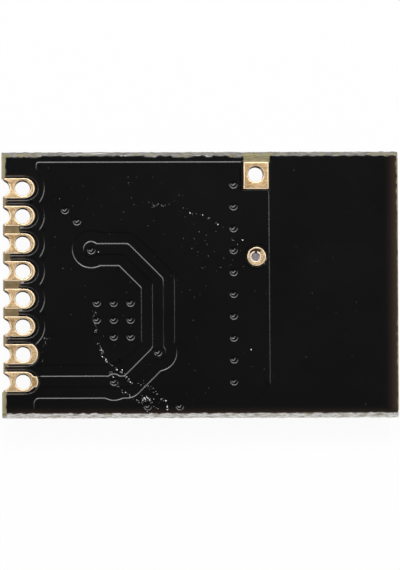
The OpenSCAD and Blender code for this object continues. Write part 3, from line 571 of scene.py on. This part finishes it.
def dimple_piece(material):
    """Mask drawn down over the vias: rings round each via at the mask's height, less a crater with an eased
    wall and a pit in it between two straight walls that meet in a turned V, both running out on the far side.
    A scratch has worn one almost flush."""
    rng = np.random.default_rng(5)
    r = np.array([0, *np.arange(0.02, 0.25, 0.015), 0.27, 0.3, 0.315, 0.33, 0.342])[:, None]
    turn, count = around(40), len(DIMPLES)
    vx, vy = np.array(DIMPLES).T[:, :, None, None]
    dx, dy = r * np.cos(turn), r * np.sin(turn)
    tilt = rng.uniform(-0.2, 0.3, (count, 1, 1))
    depth = rng.uniform(0.9, 1.1, (count, 1, 1))
    depth = np.where(np.isclose(DIMPLES, HEAT_VIAS[0]).all(1)[:, None, None], 0.2, depth)
    along, up = dx * np.cos(tilt) + dy * np.sin(tilt) + 0.015, dy * np.cos(tilt) - dx * np.sin(tilt) + 0.058
    right, left = 0.8 * along - 0.6 * up, -0.5 * along - 0.866 * up
    pit = ease(0.5 - right / 0.075) * ease(0.5 - left / 0.06) * ease((PIT_R - r) / 0.035)
    sunk = CRATER_DEPTH * ease((CRATER_R - r) / CRATER_WALL) * (1 - 0.95 * ease((dy - 0.085) / 0.08))
    sunk = sunk + PIT_DEPTH * pit * (1 - ease((dy - 0.04) / 0.11))
    z = mask_height(vx + dx, vy + dy) + 0.001 - depth * sunk
    faces = copies(grid_faces(len(r), len(turn), wrap=True)[:, ::-1], count)
    make_piece("mask_over_vias", as_points(vx + dx, vy + dy, z), faces, material, "solder_mask")


def fleck_piece(material):
    """Chips along the scratches: each a ring of eight points of random radius round a raised middle ring, at
    seeded places along the trails, at the brightest chips and thinly over the face."""
    rng = np.random.default_rng(11)
    # A row for each chip: its place, its size and how pale it is
    rows = [np.array([(x, y, 0.035, 0.95) for x, y in BRIGHT_FLECKS])]
    for trail, count, spread, palest in SCRATCHES:
        t = np.sort(rng.uniform(0, len(trail) - 1, count))
        x, y = [np.interp(t, np.arange(len(trail)), line) + rng.normal(0, spread, count)
                for line in zip(*trail)]
        size = rng.uniform(0.014, 0.028, count)
        rows.append(np.stack([x, y, size, 0.08 + palest * rng.uniform(0, 1, count) ** 1.6], -1))
    limits = ((2.0, 17.5), (-5.6, 5.6), (0.012, 0.028), (0.01, 0.08))
    rows.append(np.stack([rng.uniform(low, high, DUST) for low, high in limits], -1))
    chips = np.concatenate(rows)
    x, y = chips[:, 0], chips[:, 1]
    kept = (opening_gap(x, y) > 0.05) & (mask_edge_gap(x, y) < -0.05) & (dimple_reach(x, y) > CRATER_R)
    x, y, size, pale = chips[kept].T[:, :, None]
    turn = around(8)
    ring = size * rng.uniform(0.6, 1.3, (len(x), len(turn)))
    r = np.stack([ring, 0.5 * ring, 0 * ring], 1)
    px, py = x[:, None] + r * np.cos(turn), y[:, None] + r * np.sin(turn)
    z = mask_height(px, py) + np.array([-0.001, 0.003, 0.004])[:, None]
    faces = copies(grid_faces(3, len(turn), wrap=True), len(x))
    make_piece("chips_in_mask", as_points(px, py, z), faces, material, "solder_mask",
               pale=np.repeat(pale, 3 * len(turn)))


def land_rings(gap, centre, hole_r, shade_out=0.0):
    """Plated hole with a land on each face, as rings: up the land's side, round its rim, over the land, round
    the hole's rim, down the barrel and back out over the other face. The land's outline, drawn in a little by
    the etch, is found on rays from the hole's centre. Painted shade darkens the far side of the lip and
    barrel, the rest of the barrel a little, and the far side of the land as much as the last argument asks;
    painted highlights brighten the land's rims and the near side of the lip."""
    rim_r, lip_r, etch = 0.014, 0.045, 0.006
    turn, centre = around(256), np.array(centre)
    ray, reach = np.stack([np.cos(turn), np.sin(turn)], -1), np.linspace(hole_r, 1.6, 1200)
    outside = gap(*(centre + reach[:, None, None] * ray).T) > -etch
    edge = np.where(outside.any(1), reach[outside.argmax(1)], reach[-1])
    edge_xy, hole_xy = centre + edge[:, None] * ray, centre + (hole_r - 0.02) * ray
    run = np.roll(edge_xy, -1, 0) - np.roll(edge_xy, 1, 0)
    normal = np.stack([run[:, 1], -run[:, 0]], -1) / np.linalg.norm(run, axis=1)[:, None]
    plain, near = np.zeros(len(turn)), np.clip(-ray[:, 1], 0, 1)
    # Painted shade: strongest on the hole's far side, away from the light, and some all round the barrel
    stain_and_shade = ease((np.cos(turn - 1.65) - 0.55) / 0.25)
    wall_shade = np.maximum.reduce([stain_and_shade, 0.25 + plain, 0.6 * ease((np.cos(turn - 2.9) - 0.5) / 0.4),
                                    0.45 * ease((np.cos(turn - 0.4) - 0.5) / 0.4)])
    # A row for each ring: its points, its height over the laminate, its painted highlight and its painted
    # shade
    rows = [(edge_xy, 0.0, plain + 1, plain)]
    for a in np.linspace(0, np.pi / 2, 6):
        rows.append((edge_xy - rim_r * (1 - np.cos(a)) * normal, FOIL - rim_r * (1 - np.sin(a)),
                     plain + 1, plain))
    inner, outer = hole_xy + lip_r * ray, edge_xy - rim_r * normal
    width = np.linalg.norm(inner - outer, axis=1)[:, None]
    for t, rise, bright in (
            (np.minimum(0.028 / width, 0.2), 0.001, 0.9), (np.minimum(0.048 / width, 0.35), 0.002, 0.05),
            (0.5, 0.004, 0.0), (0.7, 0.003, 0.0), (0.88, 0.001, 0.05)):
        rows.append((outer + t * (inner - outer), FOIL + rise, plain + bright,
                     shade_out * ease(2.0 * np.mean(t)) * stain_and_shade))
    # The lip: painted highlight, stronger on its near side; painted shade down its far side and the barrel
    for a in np.linspace(np.pi / 2, 0, 5):
        rows.append((hole_xy + lip_r * (1 - np.cos(a)) * ray, FOIL - lip_r * (1 - np.sin(a)),
                     (0.5 + 0.5 * near) * (1 - shade_out),
                     np.maximum(np.clip(2 * math.cos(a) - 0.6, 0, 1) * wall_shade, shade_out * stain_and_shade)))
    rings, heights, rims, bores = [np.array(column) for column in zip(*rows)]
    x, y, rim, bore = [np.concatenate([v, v[::-1]]) for v in (rings[..., 0], rings[..., 1], rims, bores)]
    z = np.concatenate([BACK_Z + heights, FRONT_Z - heights[::-1]])[:, None]
    looks = {"rim": rim.ravel(), "bore": bore.ravel()}
    return (as_points(x, y, z), grid_faces(len(z), len(turn), wrap=True)), looks


def notch_wall(number):
    """Half barrel of a castellation: an arc of the notch's radius from one tip to the other, carried from
    face to face, with the plating's thickness turned out at both tips, and painted shade over it, darkest
    near the far one."""
    tip = math.acos(LAND_START / PAD_HOLE_R)
    turn = np.linspace(-tip, tip, 40)
    outer_y = math.sqrt((PAD_HOLE_R + PLATING) ** 2 - LAND_START ** 2)
    x = np.pad(PAD_HOLE_R * np.cos(turn), 1, constant_values=LAND_START)
    y = np.pad(PAD_HOLE_R * np.sin(turn), 1, constant_values=(-outer_y, outer_y)) + PAD_Y[number - 1]
    z = np.linspace(BACK_Z + FOIL - 0.012, FRONT_Z - FOIL + 0.012, 8)
    # Painted shade down the notch's wall, darkest towards its far tip
    notch_shade = np.pad(np.maximum(0.2, 0.9 * ease((turn - 0.4) / 0.5)), 1, constant_values=(0.1, 0.3))
    return (as_points(x[:, None], y[:, None], z), grid_faces(len(x), len(z))), np.repeat(notch_shade, len(z))


def edge_pad_pieces(material):
    """Each edge pad: its land rings and the wall of its notch, joined in one piece. It is brighter towards
    the cut edge, and painted shade darkens the far tip of the notch."""
    for number, v in enumerate(PAD_Y, 1):
        land, looks = land_rings(lambda x, y: land_gap(x, y, number), (PAD_HOLE_X, v), PAD_HOLE_R)
        x, y = land[0][:, 0], land[0][:, 1] - v
        on_notch = ease((0.06 - np.abs(np.hypot(x, y) - PAD_HOLE_R)) / 0.04)
        # Painted shade on the notch's far tip
        bore = np.maximum(looks["bore"], on_notch * ease((np.cos(np.arctan2(y, x) - 1.0) - 0.9) / 0.08))
        rim = np.maximum(looks["rim"], 0.7 * ease((0.26 - x) / 0.1))
        wall, notch_shade = notch_wall(number)
        make_piece("gold_edge_pad_%d" % number, *joined([land, wall]), material, "gold_plate",
                   ["edge_pad_%d" % number], rim=np.concatenate([rim, 0 * notch_shade]),
                   bore=np.concatenate([bore, notch_shade]))


def ground_pad_pieces(material):
    """The square and the round ground pad, each as land rings round its hole."""
    land, looks = land_rings(lambda x, y: box_gap(x, y, *CORNER_LAND), CORNER_HOLE, PAD_HOLE_R)
    make_piece("gold_corner_pad", *land, material, "gold_plate", ["corner_ground_pad"], **looks)
    # The round pad's land takes painted shade over its far side as well
    land, looks = land_rings(lambda x, y: disc_gap(x, y, ROUND_LAND, ROUND_LAND_R), ROUND_HOLE, ROUND_HOLE_R,
                             shade_out=0.95)
    make_piece("gold_round_pad", *land, material, "gold_plate", ["round_ground_pad"], **looks)


def hole_solder_piece(material):
    """Solder drawn up into the round hole: rings from the middle of its sunk face out to a rolled collar,
    half an ellipse on the hole's lip, then down the barrel to a plain foot at the component side. Painted
    shade darkens the collar at its far side and, in places, a ring round the sunk face."""
    turn, roll = around(64), np.linspace(0, np.pi, 13)
    collar_r, collar_z = 0.2315 - 0.0465 * np.cos(roll), BACK_Z + 0.02 + 0.03 * np.sin(roll)
    r = np.concatenate([[0, 0.06, 0.12, 0.165, 0.178], collar_r, [0.24, 0.24, 0]])[:, None]
    z = np.concatenate([[BACK_Z] * 5, collar_z, [BACK_Z], [FRONT_Z - 0.02] * 2])[:, None]
    points = as_points(ROUND_HOLE[0] + r * np.cos(turn), ROUND_HOLE[1] + r * np.sin(turn), z)
    # Painted shade: a broken dark ring where the sunk face meets the collar
    meniscus_shade = ease((0.016 - np.abs(r - 0.182)) / 0.012) * ease((np.cos(3 * (turn - 0.75)) - 0.1) / 0.5)
    # Painted shade: the collar's far side, away from the light
    broken = ease((r - 0.16) / 0.02) * ease((np.cos(turn - 1.5) - 0.955) / 0.03)
    make_piece("solder_in_round_hole", points, grid_faces(len(r), len(turn), wrap=True)[:, ::-1], material,
               "solder", ["ground_hole_solder"], tarnish=np.repeat(ease((0.195 - r) / 0.012), len(turn)),
               burnt=np.maximum(0.9 * meniscus_shade, broken))


def score_edge_piece(name, side, material, kept_resin):
    """Torn long edge: the score cut's profile carried along the board, pushed out by rough fields that are
    strongest on the break line and die away at the board's ends and under the mask. Stretches of kept resin
    are given by their ends and share."""
    edge, cut, under = BOARD_W / 2, BOARD_W / 2 - SCORE_IN, BOARD_W / 2 - SCORE_IN - 0.12
    t = np.linspace(0, 5, 36)
    # At the profile's six corners: its place, the way it is pushed out and up, and how strongly
    py, pz, out_y, out_z, strength = [np.interp(t, np.arange(6), corners) for corners in (
        [under, cut, edge, edge, cut, under],
        [BACK_Z, BACK_Z, BACK_Z - SCORE_DEPTH, FRONT_Z + SCORE_DEPTH, FRONT_Z, FRONT_Z],
        [0, 0.6, 1, 1, 0.6, 0], [1, 0.8, 0.2, -0.2, -0.8, -1], [0.15, 0.7, 1, 1, 0.7, 0.15])]
    x, across = np.linspace(0, BOARD_L, 620)[:, None], 0.3 * t
    seed = 30 if side > 0 else 40
    push = 0.004 + 0.008 * rough(x, across, 0.5, seed) + 0.006 * rough(x, across, 0.14, seed + 1)
    push = np.clip(push, 0.001, 0.02) * ease(x / 0.15) * ease((BOARD_L - x) / 0.15)
    push = push * strength + 0.002
    faces = grid_faces(len(x), len(t))
    kept = sum(share * ease((x - a) / 0.2 + 0.5) * ease((b - x) / 0.2 + 0.5) for a, b, share in kept_resin)
    resin = np.clip(kept + 0.35 * rough(x, across, 0.7, seed + 2) - 0.1, 0, 1) * ease((2.1 - t) / 0.8)
    make_piece(name, as_points(x, side * (py + push * out_y), pz + push * out_z * 0.5),
               faces if side > 0 else faces[:, ::-1], material, "glass_epoxy", resin=resin)


def numbered(kind):
    """Names of the numbered CAD nodes of a kind."""
    return [name for name in nodes if name.startswith(kind + "_") and name[len(kind) + 1:].isdigit()]


def node_places(kind):
    """Centre on the board and turn of each numbered CAD node of a kind: the middle of its box, turned a
    quarter where the box is longer across the board."""
    boxes = np.array([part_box(name) for name in numbered(kind)]) / MM
    x, y, _ = boxes.mean(1).T
    size = boxes[:, 1] - boxes[:, 0]
    return np.stack([x + BOARD_L / 2, y, np.where(size[:, 1] > size[:, 0], np.pi / 2, 0)], -1)


def moved_along(places, distance):
    """Places moved along their own turns by a distance."""
    turn = places[:, 2]
    return places + distance * np.stack([np.cos(turn), np.sin(turn), 0 * turn], -1)


def block_rings(places, length, width, corner_r, rows, notched=False):
    """Blocks at some places, each a rounded rectangle carried from its free face to its seat: a row draws it
    in along and across and gives its height, and a ring of no size closes each end. Notched corners are
    hollow quarter rounds."""
    rows, places = np.array(rows), np.array(places)[:, :, None, None]
    step, quarter = np.tile(np.linspace(0, np.pi / 2, 6), 4), np.repeat(np.arange(4), 6) * np.pi / 2
    side_x, side_y = np.sign(np.cos(quarter + np.pi / 4)), np.sign(np.sin(quarter + np.pi / 4))
    half_l, half_w = length / 2 - rows[:, :1], width / 2 - rows[:, 1:2]
    if notched:
        turn, r, sink = 1.5 * np.pi - step + quarter, corner_r, 0
    else:
        turn, r = step + quarter, np.clip(corner_r - rows[:, :2].min(1), corner_r / 4, corner_r)[:, None]
        sink = r
    x, y = side_x * (half_l - sink) + r * np.cos(turn), side_y * (half_w - sink) + r * np.sin(turn)
    x, y = [np.pad(v, ((1, 1), (0, 0))) for v in (x, y)]
    z = np.pad(rows[:, 2:], ((1, 1), (0, 0)), "edge")
    px, py, angle = places[:, 0], places[:, 1], places[:, 2]
    points = as_points(px + x * np.cos(angle) - y * np.sin(angle),
                       py + x * np.sin(angle) + y * np.cos(angle), z)
    return points, copies(grid_faces(len(z), len(turn), wrap=True), len(places))


def soft_rows(low, high, r):
    """Rows of a block between two heights, its edges rounded by r: quarter circle, wall, quarter circle."""
    a = np.linspace(0, np.pi / 2, 5)
    inset = np.concatenate([r * (1 - np.sin(a)), r * (1 - np.cos(a))])
    z = np.concatenate([low + r * (1 - np.cos(a)), high - r * (1 - np.sin(a))])
    return np.stack([inset, inset, z], -1)


def fillet_rows(out, side, climb):
    """Rows of a solder fillet that has climbed a part: a hollow quarter round from its tip down to its land,
    drawn in by out along the land and by side across it."""
    a = np.linspace(np.pi / 2, 0, 8)
    z = FRONT_Z - FOIL - (SOLDER_T + climb) * (1 - np.cos(a))
    return np.stack([out * np.sin(a), side * np.sin(a), z], -1)


def passive_pieces(kind, body_material, body_slot, tin):
    """Chip passives of a kind: fired ceramic blocks with soft edges, and tinned caps over their ends."""
    places, low = node_places(kind), PART_Z - PASSIVE_H[kind]
    make_piece(kind + "_bodies", *block_rings(places, PASSIVE_L - 2 * CAP_T, PASSIVE_W - 2 * CAP_T, 0.03,
                                              soft_rows(low + CAP_T, PART_Z - CAP_T, 0.03)),
               body_material, body_slot, numbered(kind))
    caps = joined([block_rings(moved_along(places, side * (PASSIVE_L - CAP_L) / 2), CAP_L, PASSIVE_W, 0.05,
                               soft_rows(low, PART_Z, 0.045)) for side in (-1, 1)])
    make_piece(kind + "_caps", *caps, tin, "tin_plate", [kind + "_ends"])


def solder_pieces(material):
    """Solder on the component side: a fillet up each end of the passives and each lead of the chip, and the
    sheet under the chip's thermal pad."""
    land_l, at = CAP_L + LAND_OUT, (PASSIVE_L - CAP_L + LAND_OUT) / 2
    parts = [block_rings(moved_along(node_places(kind), side * at), land_l, PASSIVE_W, 0.06,
                         fillet_rows(LAND_OUT, 0.08, 0.6 * height))
             for kind, height in PASSIVE_H.items() for side in (-1, 1)]
    make_piece("solder_at_passives", *joined(parts), material, "solder", ["passive_solder"])
    turn = np.repeat(np.arange(4) * np.pi / 2, 5)
    along, across = CHIP_L / 2 + (LEAD_OUT - LEAD_L) / 2, np.tile(np.arange(-2, 3) * LEAD_PITCH, 4)
    leads = np.stack([CHIP_AT[0] + along * np.cos(turn) - across * np.sin(turn),
                      CHIP_AT[1] + along * np.sin(turn) + across * np.cos(turn), turn], -1)
    fillets = block_rings(leads, LEAD_L + LEAD_OUT, LEAD_W, 0.05, fillet_rows(LEAD_OUT, 0.06, 0.15))
    sheet = block_rings([(*CHIP_AT, 0.0)], HEAT_PAD, HEAT_PAD, 0.1, soft_rows(PART_Z, FRONT_Z - FOIL, 0.01))
    make_piece("solder_at_chip", *joined([fillets, sheet]), material, "solder", ["chip_solder"])


def crystal_pieces(ceramic, alloy):
    """The crystal: a ceramic base with hollow corners, and a drawn lid whose flange turns up in a hollow
    round into a raised top with a rounded edge."""
    low, high = np.array(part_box("crystal_base")) / MM
    place = [((low[0] + high[0] + BOARD_L) / 2, (low[1] + high[1]) / 2, 0.0)]
    rows = soft_rows(low[2], high[2], 0.012)
    make_piece("crystal_body", *block_rings(place, *(high - low)[:2], 0.16, rows, notched=True),
               ceramic, "crystal_ceramic", ["crystal_base"])
    low, high = np.array(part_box("crystal_lid")) / MM
    inset = [0.3, 0.25, 0.215, 0.195, 0.185, 0.18, 0.178, 0.172, 0.15, 0.12, 0.03, 0.012, 0.003, 0, 0]
    drop = np.array([0, 0, 0.007, 0.02, 0.04, 0.06, 0.11, 0.14, 0.156, 0.16, 0.16, 0.164, 0.172, 0.18, 0.22])
    rows = np.stack([inset, inset, low[2] + drop], -1)
    make_piece("crystal_cover", *block_rings(place, *(high - low)[:2], 0.25, rows),
               alloy, "lid_alloy", ["crystal_lid"])


def dress(material, *names):
    """Gives CAD nodes their finished material."""
    for name in names:
        nodes[name].data.materials.clear()
        nodes[name].data.materials.append(material)


mask_black, gold, solder_grey = solder_mask(), gold_plate(), solder()
back_mask_piece(mask_black)
dimple_piece(mask_black)
fleck_piece(scratched_mask())
edge_pad_pieces(gold)
ground_pad_pieces(gold)
hole_solder_piece(solder_grey)
# The upper edge's fibre is toned darker and the lower's paler: partly their own colour, partly painted light,
# darker where the lamps face the edge and paler where they don't
score_edge_piece("torn_edge_upper", 1, torn_fibre("torn_fibre_upper", "#55534c", "#8f8d88"),
                 [(-1.0, 1.9, 0.5), (11.05, 12.45, 1.3), (16.8, 19.0, 0.5)])
score_edge_piece("torn_edge_lower", -1, torn_fibre("torn_fibre_lower", "#b0a79b", "#fffefb"),
                 [(-1.0, 0.25, 1.0)])
dress(glass_epoxy(), "laminate")
dress(mask_black, "front_mask")
dress(gold, "component_lands", "crystal_pads")
# Copper foil browned by the oxide under the mask: almost black where the mask's edge leaves a line of it bare
copper_brown = fine_grained("oxidised_copper_foil", "#100b08", "#1d130c", 0.05, 0.45, 0.6, metal=1.0)
dress(copper_brown, "front_copper", "back_copper", "antenna_trace", "stitching_vias", "thermal_vias",
      "supply_vias", "ground_vias")
# Silica-filled epoxy, moulded and sawn: charcoal and matte with fine pits
charcoal = fine_grained("moulding_compound", "#1a1b1c", "#2c2d2e", 0.06, 0.5, 0.68, relief=0.6)
dress(charcoal, "transceiver_chip")
# Matte tin, plated: pale warm grey with a soft crystalline grain
tin_grey = fine_grained("matte_tin_plate", "#a9a9a6", "#d8d6d0", 0.04, 0.3, 0.48, metal=1.0)
dress(tin_grey, "chip_leads")
dress(solder_grey, "crystal_solder")
# Barium titanate, pressed and fired: even tan with a fine grain
titanate_tan = fine_grained("fired_titanate", "#94765a", "#b79775", 0.05, 0.38, 0.5)
passive_pieces("capacitor", titanate_tan, "capacitor_ceramic", tin_grey)
# Glass ceramic, laid up and fired: cool pale grey, a little glassy
ceramic_grey = fine_grained("glass_ceramic", "#a8b0b2", "#cfd4d2", 0.06, 0.3, 0.42)
passive_pieces("inductor", ceramic_grey, "inductor_ceramic", tin_grey)
# Alumina, fired and snapped: chalky white
alumina_white = fine_grained("fired_alumina", "#cfcdc6", "#efeee8", 0.04, 0.5, 0.65)
passive_pieces("resistor", alumina_white, "alumina", tin_grey)
# Lead-free glass printed over the resistor film: black and wet-looking, with soft edges
glaze_black = fine_grained("printed_glaze", "#0e0f10", "#1b1c1e", 0.08, 0.18, 0.3)
glaze_l, glaze_w, glaze_z = PASSIVE_L - 2 * CAP_L, PASSIVE_W - 2 * CAP_T, PART_Z - PASSIVE_H["resistor"]
make_piece("resistor_glaze", *block_rings(node_places("resistor"), glaze_l, glaze_w, 0.05,
                                          soft_rows(glaze_z, glaze_z + 0.025, 0.012)),
           glaze_black, "resistor_glaze", ["resistor_coats"])
solder_pieces(solder_grey)
# Dark alumina package, fired; and a satin pale grey lid of nickel-plated iron alloy, drawn and seam-welded
crystal_pieces(fine_grained("dark_alumina", "#2a2623", "#433c36", 0.05, 0.42, 0.55),
               fine_grained("nickel_plated_lid", "#b9b5ab", "#dcd8cd", 0.07, 0.24, 0.38, metal=1.0))


def floor_piece():
    """Plain pale floor that sweeps up to a wall far off: rings of a profile that runs flat, turns up in a
    quarter round and rises. White to the eye and in reflections, yet it keeps a trace of shadow."""
    m, _ = new_material("white_paper")
    path = add(m, "LightPath").outputs
    seen = add(m, "Math", LARGER, n0=path["Is Camera Ray"], n1=path["Is Glossy Ray"])
    seen = add(m, "Math", LARGER, n0=seen, n1=path["Is Transmission Ray"])
    share = add(m, "Math", TIMES, n0=seen, n1=0.95)
    paper = add(m, "BsdfDiffuse", Color="#f4f4f4")
    glow = add(m, "Emission", Color="#ffffff", Strength=1.0)
    add(m, "OutputMaterial", Surface=add(m, "MixShader", n0=share, n1=paper, n2=glow))
    turn, bend = around(64), np.linspace(0, np.pi / 2, 16)
    r = np.concatenate([[0, 0.5, 1.0], 2.0 + 0.5 * np.sin(bend), [2.5]])[:, None]
    z = np.concatenate([[0, 0, 0], 0.5 - 0.5 * np.cos(bend), [1.2]])[:, None] - 0.02 * MM
    mesh = bpy.data.meshes.new("floor")
    mesh.from_pydata(as_points(r * np.cos(turn), r * np.sin(turn), z).tolist(), [],
                     grid_faces(len(r), len(turn), wrap=True)[:, ::-1].tolist())
    mesh.materials.append(m)
    put("floor", mesh)


def aimed(place, back, upright, roll=0.0):
    """Placing of a lamp or a camera: its back along one direction, its top towards upright, then rolled."""
    back = np.array(back) / np.linalg.norm(back)
    side = np.cross(upright, back)
    side = side / np.linalg.norm(side)
    up = np.cross(back, side)
    side, up = math.cos(roll) * side + math.sin(roll) * up, math.cos(roll) * up - math.sin(roll) * side
    return Matrix.Translation(place) @ Matrix((side, up, back)).transposed().to_4x4()


def softbox(name, place, size, radiance):
    """Rectangular lamp at a place in metres, facing the module; its power is radiance by pi by its area."""
    lamp = bpy.data.lights.new(name, "AREA")
    lamp.shape = "RECTANGLE"
    lamp.size, lamp.size_y = size
    lamp.energy = radiance * math.pi * size[0] * size[1]
    put(name, lamp).matrix_world = aimed(place, place, (0, 0, 1))


def studio():
    """Soft light: a broad box high beyond the upper edge with one at each of its sides, weaker ones left and
    right, a low one in front, and a dim room overhead."""
    height, wide, narrow = 0.1186, (0.12, 0.042), (0.1, 0.042)
    softbox("upper_box", (0.0, 0.0894, height), wide, 6.24)
    softbox("upper_left_box", (-0.0632, 0.0632, height), wide, 4.8)
    softbox("upper_right_box", (0.0632, 0.0632, height), wide, 4.8)
    softbox("left_box", (-0.0829, 0.0334, height), narrow, 0.56)
    softbox("right_box", (0.0829, 0.0334, height), narrow, 0.68)
    softbox("front_box", (0.0, -0.16, 0.03), (0.24, 0.05), 3.0)
    world = bpy.data.worlds.new("room")
    world.use_nodes = True
    world.node_tree.nodes.clear()
    add(world, "OutputWorld", Surface=add(world, "Background", Color="#ffffff", Strength=0.06))
    bpy.context.scene.world = world


def camera():
    """Long lens almost straight above, leaning a little to the left and the front."""
    aim, distance, roll = np.array([-0.0146, -0.0239, 1.9]), 400.0, -0.00432
    lean_left, lean_front = math.radians(2.0), math.radians(2.6)
    back = np.array([-math.tan(lean_left), -math.tan(lean_front), 1.0])
    back = back / np.linalg.norm(back)
    lens = bpy.data.cameras.new("camera")
    lens.sensor_fit, lens.sensor_width, lens.lens = "HORIZONTAL", 36.0, 784.3
    lens.clip_start = 0.01
    view = put("camera", lens)
    view.matrix_world = aimed((aim + distance * back) * MM, back, (0, 1, 0), roll)
    bpy.context.scene.camera = view


floor_piece()
studio()
camera()
bpy.context.scene.view_settings.view_transform = "Standard"
